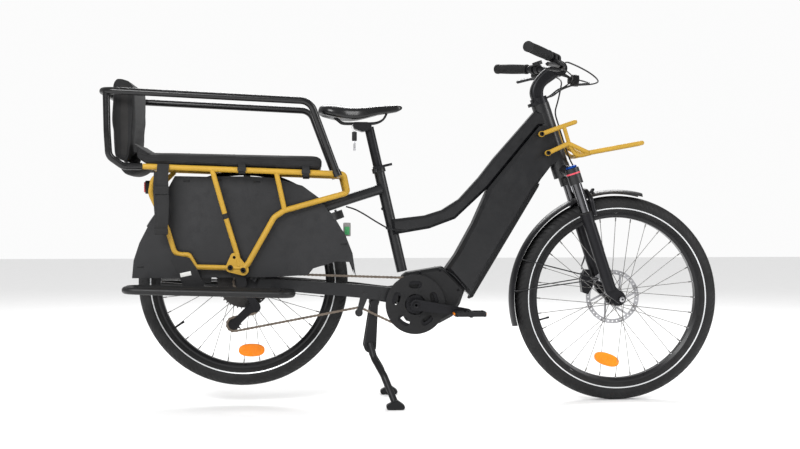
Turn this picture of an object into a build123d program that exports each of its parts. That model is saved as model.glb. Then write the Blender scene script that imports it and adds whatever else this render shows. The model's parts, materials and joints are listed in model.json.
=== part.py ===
from build123d import *
from math import asin, atan2, cos, pi, radians, sin, tan
import os

os.makedirs("parts", exist_ok=True)

# A long-tail electric cargo bicycle parked on its two-legged stand, in millimetres.
# Every place is given as x forward of the front wheel's contact point, z above the floor
# and y to the rider's left.  The drive side is -Y.  The stand holds the rear wheel clear
# of the floor, so the whole bicycle leans nose down by a little under three degrees.

# ---------------------------------------------------------------- driving dimensions
contact_x = 662.5            # the front contact point ahead of the part's origin
wheel_radius = 338.0         # 60-559 tyre
tyre_width = 62.0
rim_inner_radius = 266.0
front_axle = (0.0, 338.0)
rear_axle = (-1227.0, 397.0)
spoke_count = 32

steer_top = (-254.0, 978.0)  # the steering axis at the head tube's top
steer_lean = 18.07           # degrees back from upright
head_length = 199.0
head_diameter = 59.0
fork_spread = 72.0           # from the middle to each leg
leg_lead = 20.0              # the legs stand ahead of the steering axis
stanchion_diameter = 32.0
leg_diameter = 39.0

seat_tube_foot = (-711.0, 428.0)
seat_tube_top = (-789.0, 766.0)
seat_tube_diameter = 34.9
post_diameter = 30.9

bracket_axis = (-672.0, 323.0)
crank_length = 170.0
crank_dip = -8.4             # degrees below level, forward pedal
chain_y = -52.0
chain_pitch = 12.7
ring_teeth = 42
driven_teeth = 15
jockey_teeth = 11
cog_teeth = [11, 13, 15, 18, 21, 24, 28, 32, 37, 42]
cog_spacing = 3.9

guide_pulley = (-1200.0, 316.0)
tension_pulley = (-1256.0, 262.0)
idler_axis = (-854.6, 296.8)
idler_radius = 17.0

stand_pivot = (-804.0, 325.0)
lock_centre = (-976.0, 592.7)
lock_lean = 19.3             # degrees that the ring lock's plane rises towards the front
lock_radius = 62.0

running = 0.05               # radial clearance of a running fit
gap = 0.3                    # between faces that only pass close to each other


# ---------------------------------------------------------------- shared construction
def at(x, z, y=0.0):
    """A point x ahead of the front contact point, z above the floor, y to the left."""
    return Vector(contact_x + x, y, z)


def side_plane(y=0.0):
    """An upright fore-and-aft plane at y whose sketch axes are x and z."""
    return Plane(origin=(contact_x, y, 0), x_dir=(1, 0, 0), z_dir=(0, -1, 0))


def across_plane(centre):
    """A plane whose sketch axes are y and height, for turning a section about an axle."""
    return Plane(origin=at(*centre), x_dir=(0, 1, 0), z_dir=(1, 0, 0))


def axle_line(centre):
    return Axis(at(*centre), (0, 1, 0))


def rod(start, end, diameter, bore=0.0):
    """A straight round bar or tube."""
    run = end - start
    with BuildPart() as bar:
        with BuildSketch(Plane(origin=start, z_dir=run)):
            Circle(diameter / 2)
            if bore:
                Circle(bore / 2, mode=Mode.SUBTRACT)
        extrude(amount=run.length)
    return bar.part


def bent_tube(points, diameter, bend, bore=0.0):
    """A round bar or tube along straight runs joined by bends."""
    with BuildPart() as bar:
        with BuildLine() as route:
            FilletPolyline(*points, radius=bend)
        with BuildSketch(Plane(origin=route.line @ 0, z_dir=route.line % 0)):
            Circle(diameter / 2)
            if bore:
                Circle(bore / 2, mode=Mode.SUBTRACT)
        sweep()
    return bar.part


def cord(name, points, diameter):
    """A held hose: each bend is as large as its two runs allow."""
    radii = []
    for before, here, after in zip(points, points[1:], points[2:]):
        turn = radians((here - before).get_angle(after - here))
        shorter = min((here - before).length, (after - here).length)
        radii.append(0.45 * shorter / tan(turn / 2))
    with BuildPart() as hose:
        with BuildLine() as route:
            FilletPolyline(*points, radius=radii)
        with BuildSketch(Plane(origin=route.line @ 0, z_dir=route.line % 0)):
            Circle(diameter / 2)
        sweep()
    length = sum(edge.length for edge in route.line.edges())
    ratio = hose.part.volume / (pi * diameter**2 / 4 * length)
    print(name, "length", round(length), "tightest bend", round(min(radii)), "volume ratio", round(ratio, 4))
    return hose.part


def slab(outline, y_from, y_to):
    """A flat plate of a side-view outline between two widths."""
    with BuildPart() as plate:
        with BuildSketch(side_plane(y_from)):
            Polygon(*outline, align=None)
        extrude(amount=y_from - y_to)
    return plate.part


def link(circles, y_from, y_to):
    """A plate that wraps round circles, each (x, z, radius)."""
    with BuildPart() as plate:
        with BuildSketch(side_plane(y_from)):
            for x, z, radius in circles:
                with Locations((x, z)):
                    Circle(radius)
            make_hull()
        extrude(amount=y_from - y_to)
    return plate.part


def bevelled(outline, flat, bevel, inset=0.0):
    """A beam of a side-view outline, flat to +/-flat and bevelled at 45 degrees beyond."""
    with BuildPart() as beam:
        with BuildSketch(side_plane()):
            Polygon(*outline, align=None)
            if inset:
                offset(amount=-inset, kind=Kind.INTERSECTION)
        extrude(amount=flat)
        with BuildSketch(side_plane(-flat)):
            Polygon(*outline, align=None)
            if inset:
                offset(amount=-inset, kind=Kind.INTERSECTION)
        extrude(amount=bevel, taper=45)
        mirror(about=Plane.XZ)
    return beam.part


def turned(centre, outline):
    """A solid turned about an axle from (y, radius) points."""
    with BuildPart() as body:
        with BuildSketch(across_plane(centre)):
            Polygon(*outline, align=None)
        revolve(axis=axle_line(centre))
    return body.part


def pitch_radius(teeth):
    return chain_pitch / (2 * sin(pi / teeth))


def sprocket(centre, teeth, y, thickness, hollow, bore):
    """A toothed ring with an open middle of radius hollow, or a plain bore if smaller."""
    root = pitch_radius(teeth) - 4.0
    with BuildPart() as wheel:
        with BuildSketch(side_plane(y + thickness / 2)):
            with Locations(centre):
                Circle(root)
                with PolarLocations(root - 0.3, teeth):
                    Polygon((0, -3.4), (7.0, -1.0), (7.0, 1.0), (0, 3.4), align=None)
                Circle(max(hollow, bore), mode=Mode.SUBTRACT)
        extrude(amount=thickness)
    return wheel.part


def write(part, name):
    part.label = name
    export_step(part, f"parts/{name}.step")


# The steering frame: x ahead of the axis, y left, z up along the axis from the head tube's top.
lean = radians(steer_lean)
steer = Plane(origin=at(*steer_top), x_dir=(cos(lean), 0, sin(lean)), z_dir=(-sin(lean), 0, cos(lean)))


def on_steer(ahead, y, up):
    return steer.from_local_coords(Vector(ahead, y, up))


# The seat tube frame: z up along the tube from its foot.
seat_run = at(*seat_tube_top) - at(*seat_tube_foot)
seat_axis = seat_run.normalized()
seat_tube_length = seat_run.length


def on_seat(up, ahead=0.0, y=0.0):
    forward = Vector(seat_axis.Z, 0, -seat_axis.X)
    return at(*seat_tube_foot) + seat_axis * up + forward * ahead + Vector(0, y, 0)


# ---------------------------------------------------------------- wheels
def make_tyre(centre):
    half = tyre_width / 2
    with BuildPart() as tyre:
        with BuildSketch(across_plane(centre)):
            with BuildLine():
                Spline((-18, 281), (-27, 293), (-half, 307), (-22.5, 329.5), (0, wheel_radius),
                       (22.5, 329.5), (half, 307), (27, 293), (18, 281))
                Line((18, 281), (-18, 281))
            make_face()
            with BuildLine():
                Spline((-14, 281), (-23, 293.5), (4 - half, 307), (-19, 326), (0, wheel_radius - 4.5),
                       (19, 326), (half - 4, 307), (23, 293.5), (14, 281))
                Line((14, 281), (-14, 281))
            make_face(mode=Mode.SUBTRACT)
        revolve(axis=axle_line(centre))
    return tyre.part


def make_rim(centre):
    floor = rim_inner_radius
    with BuildPart() as rim:
        with BuildSketch(across_plane(centre)):
            Polygon((-18, 280.8), (-15.5, 280.8), (-15.5, 277), (15.5, 277), (15.5, 280.8), (18, 280.8),
                    (18, 275), (12.5, floor), (-12.5, floor), (-18, 275), align=None)
            Polygon((-14.5, 275), (14.5, 275), (11, floor + 2), (-11, floor + 2),
                    align=None, mode=Mode.SUBTRACT)
        revolve(axis=axle_line(centre))
    return rim.part


def make_spoke(start, end):
    run = end - start
    with BuildPart() as spoke:
        with BuildSketch(Plane(origin=start, z_dir=run)):
            Circle(1.0)
        extrude(amount=run.length)
        with BuildSketch(Plane(origin=end, z_dir=-run)):
            Circle(2.0)
        extrude(amount=12)
    return spoke.part


def make_spokes(centre, flange_y, hole_radius):
    """Three-cross lacing.  Outside and inside spokes alternate round each flange."""
    reach = rim_inner_radius - 1.2
    spokes = []
    for side in (0, 1):
        for index in range(spoke_count // 2):
            outside = index % 2 == 0
            hub_angle = radians(index * 22.5 + side * 11.25)
            rim_angle = hub_angle + radians(67.5 if outside else -67.5)
            away = 1 if flange_y[side] > 0 else -1
            start_y = flange_y[side] + away * (4.2 if outside else -2.8)
            start = at(centre[0] + hole_radius * cos(hub_angle), centre[1] + hole_radius * sin(hub_angle), start_y)
            end = at(centre[0] + reach * cos(rim_angle), centre[1] + reach * sin(rim_angle), away * 3.0)
            spokes.append(make_spoke(start, end))
    with BuildPart() as laced:
        add(spokes)
    return laced.part


def make_rotor(centre, y, mount_radius):
    """A six-bolt brake disc."""
    with BuildPart() as rotor:
        with BuildSketch(side_plane(y + 0.95)):
            with Locations(centre):
                Circle(90)
                Circle(75, mode=Mode.SUBTRACT)
                with PolarLocations(50, 6):
                    with Locations(Rotation(0, 0, 28)):
                        Rectangle(60, 7)
                Circle(29)
                Circle(mount_radius, mode=Mode.SUBTRACT)
                with PolarLocations(22, 6):
                    Circle(2.6, mode=Mode.SUBTRACT)
                with PolarLocations(82.5, 36):
                    Circle(2.6, mode=Mode.SUBTRACT)
        extrude(amount=1.9)
    return rotor.part


front_tyre = make_tyre(front_axle)
front_rim = make_rim(front_axle)
front_spokes = make_spokes(front_axle, (-32.0, 24.0), 24.0)
front_hub = turned(front_axle, [
    (-50, 7.55), (-50, 11), (-40, 11), (-36, 16), (-33.5, 16), (-33.5, 26), (-30.5, 26), (-30.5, 16),
    (22.5, 16), (22.5, 26), (25.5, 26), (25.5, 22), (39.9, 22), (39.9, 15), (50, 15), (50, 7.55)])
front_rotor = make_rotor(front_axle, 41.0, 15.0)

rear_tyre = make_tyre(rear_axle)
rear_rim = make_rim(rear_axle)
rear_spokes = make_spokes(rear_axle, (-16.0, 34.0), 27.0)
rear_hub_shell = turned(rear_axle, [
    (-21, 6.05), (-21, 22), (-17.5, 22), (-17.5, 29), (-14.5, 29), (-14.5, 18), (32.5, 18), (32.5, 29),
    (35.5, 29), (35.5, 22), (54.9, 22), (54.9, 15), (70, 15), (70, 6.05)])
rear_rotor = make_rotor(rear_axle, 56.0, 15.0)
with BuildPart() as rear_hub:
    add(rear_hub_shell)
    add(rear_rotor)

# The cassette turns on the axle with its freewheel body, one toothed ring per speed.
cogs = []
first_cog_y = chain_y - 2 * cog_spacing
for place, teeth in enumerate(cog_teeth):
    hollow = 17.0 if teeth < 18 else pitch_radius(teeth) - 16
    cogs.append(sprocket(rear_axle, teeth, first_cog_y + place * cog_spacing, 1.7, hollow, 17.0))
cassette_core = turned(rear_axle, [(-68, 6.05), (-68, 17), (-22, 17), (-22, 6.05)])
cog_arms = []
for turn in range(5):
    angle = radians(72 * turn)
    reach = (cos(angle), sin(angle))
    arm = [(rear_axle[0] + 16 * reach[0], rear_axle[1] + 16 * reach[1], 4),
           (rear_axle[0] + 40 * reach[0], rear_axle[1] + 40 * reach[1], 3.5)]
    cog_arms.append(link(arm, first_cog_y + 5 * cog_spacing, -23.8))
    middle_arm = [arm[0], (rear_axle[0] + 54 * reach[0], rear_axle[1] + 54 * reach[1], 3.5)]
    cog_arms.append(link(middle_arm, first_cog_y + 7 * cog_spacing, -23.8))
    long_arm = [arm[0], (rear_axle[0] + 70 * reach[0], rear_axle[1] + 70 * reach[1], 3.5)]
    cog_arms.append(link(long_arm, first_cog_y + 8 * cog_spacing, -23.8))
with BuildPart() as cassette:
    add(cassette_core)
    add(cog_arms)
    add(cogs)


# ---------------------------------------------------------------- drive
def chain_loop(outward):
    """Corner arcs of the chain's run, moved outward by a distance: (start, middle, end) per wheel."""
    wheels = [
        (bracket_axis, pitch_radius(ring_teeth), 1),
        (rear_axle, pitch_radius(driven_teeth), 1),
        (guide_pulley, pitch_radius(jockey_teeth), -1),
        (tension_pulley, pitch_radius(jockey_teeth), 1),
        (idler_axis, idler_radius, -1),
    ]
    signed = [(centre, sense * (radius + sense * outward)) for centre, radius, sense in wheels]
    headings = []
    for (here, r_here), (there, r_there) in zip(signed, signed[1:] + signed[:1]):
        dx, dz = there[0] - here[0], there[1] - here[1]
        headings.append(atan2(dz, dx) + asin((r_here - r_there) / (dx * dx + dz * dz) ** 0.5))
    arcs = []
    for place, (centre, radius) in enumerate(signed):
        come, leave = headings[place - 1], headings[place]
        turn = (leave - come) % (2 * pi) if radius > 0 else -((come - leave) % (2 * pi))
        points = []
        for heading in (come, come + turn / 2, leave):
            points.append((centre[0] + radius * sin(heading), centre[1] - radius * cos(heading)))
        arcs.append(points)
    return arcs


def chain_plate(y, thickness):
    with BuildPart() as plate:
        with BuildSketch(side_plane(y + thickness / 2)):
            for outward, mode in ((4.1, Mode.ADD), (-4.1, Mode.SUBTRACT)):
                arcs = chain_loop(outward)
                with BuildLine():
                    for arc, following in zip(arcs, arcs[1:] + arcs[:1]):
                        ThreePointArc(*arc)
                        Line(arc[2], following[0])
                make_face(mode=mode)
        extrude(amount=thickness)
    return plate.part


chain_plates = [chain_plate(chain_y - 2.4, 1.0), chain_plate(chain_y + 2.4, 1.0)]
with BuildPart() as chain:
    add(chain_plates)

crank_angle = radians(crank_dip)
pedal_reach = (crank_length * cos(crank_angle), crank_length * sin(crank_angle))
right_pedal = (bracket_axis[0] + pedal_reach[0], bracket_axis[1] + pedal_reach[1])
left_pedal = (bracket_axis[0] - pedal_reach[0], bracket_axis[1] - pedal_reach[1])
arm_inner, arm_outer = 74.0, 88.0
spindle = rod(at(*bracket_axis, -arm_outer), at(*bracket_axis, arm_outer), 24.0)


def crank_arm(pedal, side):
    return link([(*bracket_axis, 18), (*pedal, 12)], side * arm_inner, side * arm_outer)


def pedal_pin(pedal, side):
    return rod(at(*pedal, side * arm_outer), at(*pedal, side * 168), 12.0)


chainring = sprocket(bracket_axis, ring_teeth, chain_y, 2.0, 66.0, 30.0)
with BuildPart() as spider:
    with BuildSketch(side_plane(chain_y + 1.0)):
        with Locations(bracket_axis):
            with PolarLocations(45, 5):
                Rectangle(52, 15)
            Circle(30)
            Circle(11, mode=Mode.SUBTRACT)
    extrude(amount=3.5)
with BuildPart() as chain_guard:
    with BuildSketch(side_plane(-57.4)):
        with Locations(bracket_axis):
            Circle(96.5)
            Circle(34, mode=Mode.SUBTRACT)
            with PolarLocations(64, 5, start_angle=18):
                SlotOverall(42, 24, rotation=90, mode=Mode.SUBTRACT)
    extrude(amount=2.6)
guard_bolts = [
    rod(at(bracket_axis[0] + 47 * cos(radians(72 * n)), bracket_axis[1] + 47 * sin(radians(72 * n)), -62.5),
        at(bracket_axis[0] + 47 * cos(radians(72 * n)), bracket_axis[1] + 47 * sin(radians(72 * n)), -54.4), 8.0)
    for n in range(5)]
crank_core = rod(at(*bracket_axis, -arm_inner), at(*bracket_axis, -46), 30.0)
with BuildPart() as crankset:
    add(spindle)
    add(crank_core)
    for side, pedal in ((-1, right_pedal), (1, left_pedal)):
        add(crank_arm(pedal, side))
        add(pedal_pin(pedal, side))
    add(spider)
    add(chainring)
with BuildPart() as ring_guard:
    add(chain_guard)
    add(guard_bolts)
    add(crankset, mode=Mode.SUBTRACT)


def make_pedal(pedal, side):
    """A platform pedal: an open cage round a barrel that turns on the pedal's pin."""
    near, far = side * 91, side * 172
    barrel = rod(at(*pedal, near), at(*pedal, far), 20.0)
    cap = rod(at(*pedal, far - side * 3), at(*pedal, far), 20.0)
    with BuildPart() as cage:
        with BuildSketch(Plane.XY.offset(pedal[1] - 7)):
            with Locations((contact_x + pedal[0], (near + far) / 2)):
                RectangleRounded(100, 81, 14)
                with GridLocations(58, 0, 2, 1):
                    RectangleRounded(34, 63, 8, mode=Mode.SUBTRACT)
        extrude(amount=14)
        add(barrel)
        add(rod(at(*pedal, near), at(*pedal, far - side * 3.5), 12.0 + 2 * running), mode=Mode.SUBTRACT)
    return cage.part


pedal_right = make_pedal(right_pedal, -1)
pedal_left = make_pedal(left_pedal, 1)

motor_outline = [(-697, 425), (-580, 444), (-507, 371), (-524, 322), (-548, 282), (-591, 259),
                 (-650, 252), (-700, 268), (-728, 318), (-724, 380), (-712, 414)]
motor_body = bevelled(motor_outline, 32, 10)
motor_void = bevelled(motor_outline, 27, 8, inset=14)
with BuildPart() as motor:
    add(motor_body)
    add(motor_void, mode=Mode.SUBTRACT)
    add(rod(at(*bracket_axis, -43), at(*bracket_axis, 43), 46.0))
    add(rod(at(*bracket_axis, -45), at(*bracket_axis, 45), 24.0 + 2 * running), mode=Mode.SUBTRACT)


def make_jockey(centre):
    wheel = sprocket(centre, jockey_teeth, chain_y, 2.0, 4.0 + running, 4.0 + running)
    hub = rod(at(*centre, chain_y - 5), at(*centre, chain_y + 5), 14.0, 8.0 + 2 * running)
    with BuildPart() as jockey:
        add(wheel)
        add(hub)
    return jockey.part


jockey_upper = make_jockey(guide_pulley)
jockey_lower = make_jockey(tension_pulley)
idler_rim = rod(at(*idler_axis, chain_y - 4), at(*idler_axis, chain_y + 4), 2 * (idler_radius - 4.5), 8 + 2 * running)
with BuildPart() as idler_wheel:
    add(idler_rim)

cage_plates = [
    link([(*guide_pulley, 13), (*tension_pulley, 13)], chain_y - 8.5, chain_y - 6),
    link([(*guide_pulley, 13), (*tension_pulley, 13)], chain_y + 6, chain_y + 8),
    rod(at(*guide_pulley, chain_y - 8), at(*guide_pulley, chain_y + 8), 8.0),
    rod(at(*tension_pulley, chain_y - 8), at(*tension_pulley, chain_y + 8), 8.0)]

# ---------------------------------------------------------------- frame
head_tube = rod(on_steer(0, 0, -head_length - 10), on_steer(0, 0, 0), head_diameter, 44.0)
cup_bore = 28.6 + 2 * running
headset_cups = [
    rod(on_steer(0, 0, -12), on_steer(0, 0, 0), 44.0, cup_bore),
    rod(on_steer(0, 0, -head_length - 10), on_steer(0, 0, -head_length + 4), 44.0, cup_bore)]
with BuildPart() as headset:
    add(headset_cups)

top_tube_outline = [(-748, 598), (-638, 611), (-581, 629), (-524, 665), (-459, 736), (-409, 800),
                    (-272, 956), (-246, 954), (-231, 905), (-262, 903), (-429, 702), (-538, 600),
                    (-624, 568), (-742, 548)]
down_tube_outline = [(-429, 702), (-262, 903), (-231, 905), (-195, 795), (-224, 772), (-257, 729),
                     (-491, 349), (-512, 372), (-570, 438), (-538, 483), (-481, 586)]
head_solid = rod(on_steer(0, 0, -head_length - 40), on_steer(0, 0, 40), head_diameter)
seat_solid = rod(on_seat(-20), on_seat(seat_tube_length + 30), seat_tube_diameter)
motor_solid = bevelled(motor_outline, 42, 10)


def cheeks(inset):
    """What the frame narrows by, each side, as it runs into the head tube."""
    with BuildPart() as trim:
        with BuildSketch(steer.offset(-300)):
            Polygon((60, 29.4 - inset), (-15, 29.4 - inset), (-130, 43.5 - inset), (-130, 70), (60, 70), align=None)
            mirror(about=Plane.XZ)
        extrude(amount=340)
    return trim.part


hose_rear = [at(-896, 640, -44), at(-868, 632, -44), at(-838, 616, -40), at(-800, 592, -32),
             at(-762, 570, -33), at(-728, 562, -33), at(-694, 564, -24)]
with BuildPart() as rear_hose:
    add(cord("rear hose", hose_rear, 5.0))

top_tube_skin = bevelled(top_tube_outline, 19, 9)
top_tube_void = bevelled(top_tube_outline, 18, 7, inset=4)
with BuildPart() as top_tube:
    add(top_tube_skin)
    add(top_tube_void, mode=Mode.SUBTRACT)
    add([head_solid, seat_solid, rear_hose], mode=Mode.SUBTRACT)

down_tube_skin = bevelled(down_tube_outline, 31, 12)
down_tube_void = bevelled(down_tube_outline, 30, 10, inset=4)
battery_block = bevelled([(-478, 548), (-330, 776), (-284, 742), (-446, 472)], 28, 6)
with BuildPart() as down_tube_hollow:
    add(down_tube_void)
    add(cheeks(3), mode=Mode.SUBTRACT)
with BuildPart() as down_tube:
    add(down_tube_skin)
    add(down_tube_hollow, mode=Mode.SUBTRACT)
    add(cheeks(0), mode=Mode.SUBTRACT)
    add([head_solid, motor_solid, top_tube_skin], mode=Mode.SUBTRACT)
rack_bosses = [(-259.3, 876.2), (-238.0, 814.6)]
boss_posts = []
for x, z in rack_bosses:
    boss_posts += [rod(at(x, z, side * 28), at(x, z, side * 48), 15.0) for side in (-1, 1)]
with BuildPart() as down_tube_bossed:
    add(down_tube)
    add(boss_posts)
    add([head_solid, top_tube_skin], mode=Mode.SUBTRACT)
with BuildPart() as battery:
    add(battery_block)
cover_outline = [(-268, 712), (-482, 364), (-489, 350), (-493, 338), (-480, 343), (-262, 706), (-259, 716)]
cover_strip = slab(cover_outline, -22, 22)
with BuildPart() as battery_cover:
    add(cover_strip)
    add(down_tube_bossed, mode=Mode.SUBTRACT)

seat_tube_bar = rod(on_seat(0), on_seat(seat_tube_length), seat_tube_diameter)
seat_tube_bore = rod(on_seat(12), on_seat(seat_tube_length + 5), post_diameter + 2 * running)
collar_ring = rod(on_seat(seat_tube_length - 15), on_seat(seat_tube_length + 1), 44.0, seat_tube_diameter)
collar_ear = rod(on_seat(seat_tube_length - 12, -14, -28), on_seat(seat_tube_length - 2, -14, -28), 16.0)
lever_pin = rod(on_seat(seat_tube_length - 12, -14, -28), on_seat(seat_tube_length + 9, -14, -28), 6.0)
with BuildPart() as seat_tube:
    add(seat_tube_bar)
    add(collar_ring)
    add(collar_ear)
    add(lever_pin)
    add(seat_tube_bore, mode=Mode.SUBTRACT)
    add(motor_solid, mode=Mode.SUBTRACT)
lever_up = seat_tube_length - 2 + gap
with BuildPart() as clamp_lever:
    with BuildSketch(Plane(origin=on_seat(lever_up), x_dir=(seat_axis.Z, 0, -seat_axis.X), z_dir=seat_axis)):
        with Locations((-14, -28)):
            Circle(5.5)
        with Locations((40, -31)):
            Circle(5)
        make_hull()
        with Locations((-14, -28)):
            Circle(3 + running, mode=Mode.SUBTRACT)
    extrude(amount=8)

stay_route = [(-783, 697, 31), (-883, 665.5, 60), (-1062, 606, 82), (-1175, 440, 90), (-1198, 408, 90)]


def seat_stay(side):
    points = [at(x, z, side * y) for x, z, y in stay_route]
    return bent_tube(points, 33.0, [60, 60, 20], 27.0)


def chain_stay(side):
    """A flat-sided box stay: a side outline swept in plan from the motor out to the wheel."""
    with BuildPart() as stay:
        with BuildSketch(side_plane()):
            Polygon((-705, 384), (-756, 377), (-862, 389), (-1029, 402), (-1170, 412), (-1185, 380),
                    (-1046, 366), (-862, 347), (-781, 335), (-705, 328), align=None)
        extrude(amount=120, both=True)
        with BuildSketch(Plane.XY.offset(300)):
            with BuildLine():
                Polyline((contact_x - 705, side * 20), (contact_x - 780, side * 22), (contact_x - 870, side * 46),
                         (contact_x - 1050, side * 68), (contact_x - 1185, side * 72), (contact_x - 1185, side * 92),
                         (contact_x - 1040, side * 92), (contact_x - 865, side * 68), (contact_x - 785, side * 44),
                         (contact_x - 705, side * 40), (contact_x - 705, side * 20))
            make_face()
        extrude(amount=150, mode=Mode.INTERSECT)
    return stay.part


def dropout(side):
    return link([(*rear_axle, 20), (-1178, 436, 15), (-1168, 396, 16)], side * 71, side * 83)


def stand_ear(side):
    return link([(*stand_pivot, 15), (-800, 352, 18)], side * 20, side * 31)


stand_bridge = link([(-800, 346, 10), (-800, 357, 8)], -26, 26)
stay_bridge = rod(at(-850, 368, -62), at(-850, 368, 62), 16.0)
idler_arm = [
    link([(*idler_axis, 8), (-838, 350, 12)], -62, -57.5),
    rod(at(*idler_axis, -60), at(*idler_axis, chain_y + 5), 8.0)]
rear_axle_bar = rod(at(*rear_axle, -92), at(*rear_axle, 92), 12.0)
with BuildPart() as rear_triangle:
    for side in (-1, 1):
        add(seat_stay(side))
        add(chain_stay(side))
        add(dropout(side))
        add(stand_ear(side))
    add(stand_bridge)
    add(idler_arm)
    add(rear_axle_bar)
    add(rod(at(*stand_pivot, -50), at(*stand_pivot, 50), 16.0 + 2 * running), mode=Mode.SUBTRACT)
    add([seat_solid, motor_solid], mode=Mode.SUBTRACT)

derailleur_blocks = [
    link([(-1216, 372, 9), (-1184, 322, 13)], -86, -70),
    link([(-1184, 316, 14), (*guide_pulley, 12)], -84, chain_y - 8.6),
    rod(at(-1216, 372, -90), at(-1216, 372, -86), 16.0)]
with BuildPart() as derailleur:
    add(derailleur_blocks)
    add(cage_plates)
    add(rear_triangle, mode=Mode.SUBTRACT)

# ---------------------------------------------------------------- stand
def stand_leg(side):
    upper = link([(*stand_pivot, 12), (-818, 186, 20)], side * 34, side * 46.5)
    lower = bent_tube([at(-818, 196, side * 44), at(-806, 150, side * 62), at(-776, 98, side * 118),
                       at(-742, 12, side * 166)], 22.0, [30, 40])
    foot = link([(-764, 9, 9), (-724, 9, 9), (-740, 22, 8)], side * 154, side * 182)
    return [upper, lower, foot]


with BuildPart() as stand:
    add(rod(at(*stand_pivot, -46.5), at(*stand_pivot, 46.5), 16.0))
    for side in (-1, 1):
        add(stand_leg(side))

# ---------------------------------------------------------------- seat post and saddle
post_top = 483.0
post_bar = rod(on_seat(post_top - 300), on_seat(post_top), post_diameter, post_diameter - 5)
with BuildPart() as post_head:
    with BuildSketch(side_plane(26)):
        Polygon((-872, 906), (-868, 893), (-842, 884), (-826, 886), (-812, 896), (-812, 908), (-826, 915),
                (-868, 915), align=None)
    extrude(amount=52)
rail_runs = []
for side in (-1, 1):
    rail_runs.append([at(-936, 934, side * 40), at(-905, 911, side * 23), at(-812, 911, side * 22),
                      at(-775, 921, side * 14), at(-762, 940, side * 10)])
rails = [bent_tube(points, 7.0, [12, 20, 12]) for points in rail_runs]
with BuildPart() as seatpost:
    add(post_bar)
    add(post_head)
    add(rails, mode=Mode.SUBTRACT)
with BuildPart() as saddle:
    with BuildSketch(side_plane()):
        with BuildLine():
            Spline((-985, 941), (-960, 967), (-900, 966), (-846, 964), (-770, 970), (-726, 971), (-711, 965))
            Spline((-711, 965), (-722, 950), (-760, 940), (-830, 937), (-898, 920), (-950, 920), (-985, 941))
        make_face()
    extrude(amount=95, both=True)
    with BuildSketch(Plane.XY.offset(890)):
        with BuildLine():
            Spline((contact_x - 986, 0), (contact_x - 975, 52), (contact_x - 935, 82), (contact_x - 890, 68),
                   (contact_x - 840, 36), (contact_x - 770, 22), (contact_x - 720, 16), (contact_x - 711, 0))
            Line((contact_x - 711, 0), (contact_x - 986, 0))
        make_face()
        mirror(about=Plane.XZ)
    extrude(amount=100, mode=Mode.INTERSECT)
    add(rails)

# ---------------------------------------------------------------- fork
leg_top, leg_foot = -387.0, -650.0
crown_blocks = [
    rod(on_steer(0, 0, -head_length - 52), on_steer(0, 0, -head_length - 10 - gap), 62.0),
    bent_tube([on_steer(0, 0, -228), on_steer(6, 30, -232), on_steer(leg_lead, 74, -250)], 36.0, [20]),
    bent_tube([on_steer(0, 0, -228), on_steer(6, -30, -232), on_steer(leg_lead, -74, -250)], 36.0, [20])]
with BuildPart() as fork_crown:
    add(crown_blocks)
    add(rod(on_steer(0, 0, -240), on_steer(0, 0, 50), 28.6))
    for side in (-1, 1):
        add(rod(on_steer(leg_lead, side * fork_spread, -285), on_steer(leg_lead, side * fork_spread, -232), 46.0))
        add(rod(on_steer(leg_lead, side * fork_spread, -500), on_steer(leg_lead, side * fork_spread, -280),
                stanchion_diameter))


def fork_foot(side):
    foot = on_steer(leg_lead, 0, leg_foot)
    return link([(foot.X - contact_x, foot.Z, 19), (*front_axle, 15)], side * 56, side * 82)


arch_points = [on_steer(46, -70, -402), on_steer(52, -64, -348), on_steer(50, -34, -318),
               on_steer(50, 34, -318), on_steer(52, 64, -348), on_steer(46, 70, -402)]
with BuildPart() as fork_lowers:
    add(bent_tube(arch_points, 18.0, [30, 22, 22, 30]))
    for side in (-1, 1):
        leg_y = side * fork_spread
        add(rod(on_steer(leg_lead, leg_y, leg_foot), on_steer(leg_lead, leg_y, leg_top), leg_diameter))
        add(rod(on_steer(leg_lead, leg_y, leg_top - 24), on_steer(leg_lead, leg_y, leg_top), leg_diameter + 4))
        add(fork_foot(side))
        add(rod(at(*front_axle, side * 52), at(*front_axle, side * 60), 24.0))
        add(rod(on_steer(leg_lead, leg_y, -580), on_steer(leg_lead, leg_y, leg_top + 5),
                stanchion_diameter + 2 * running), mode=Mode.SUBTRACT)
    add(rod(at(*front_axle, -90), at(*front_axle, 88), 15.0))

with BuildPart() as caliper_block:
    with BuildSketch(Plane(origin=on_steer(0, 58, 0), x_dir=steer.x_dir, z_dir=(0, -1, 0))):
        Polygon((-6, -575), (-20, -570), (-44, -596), (-52, -640), (-36, -652), (-22, -640), (-6, -622), align=None)
    extrude(amount=32)
    with BuildSketch(side_plane(43.5)):
        with Locations(front_axle):
            Circle(94)
    extrude(amount=5, mode=Mode.SUBTRACT)
with BuildPart() as front_caliper:
    add(caliper_block)
    add(fork_lowers, mode=Mode.SUBTRACT)


# ---------------------------------------------------------------- mudguards
def mudguard(centre, radius, half_width, start, sweep_angle):
    """A thin rounded channel round a wheel from a start angle, in degrees up from ahead."""
    outward = Vector(cos(radians(start)), 0, sin(radians(start)))
    section = Plane(origin=at(*centre), x_dir=(0, 1, 0), z_dir=Vector(0, 1, 0).cross(outward))
    drop = half_width * 0.42
    with BuildPart() as guard:
        with BuildSketch(section):
            with BuildLine():
                ThreePointArc((-half_width, radius - drop), (0, radius), (half_width, radius - drop))
                Line((half_width, radius - drop), (half_width - 2, radius - drop))
                ThreePointArc((half_width - 2, radius - drop), (0, radius - 2), (2 - half_width, radius - drop))
                Line((2 - half_width, radius - drop), (-half_width, radius - drop))
            make_face()
        revolve(axis=axle_line(centre), revolution_arc=-sweep_angle)
    return guard.part


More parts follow.
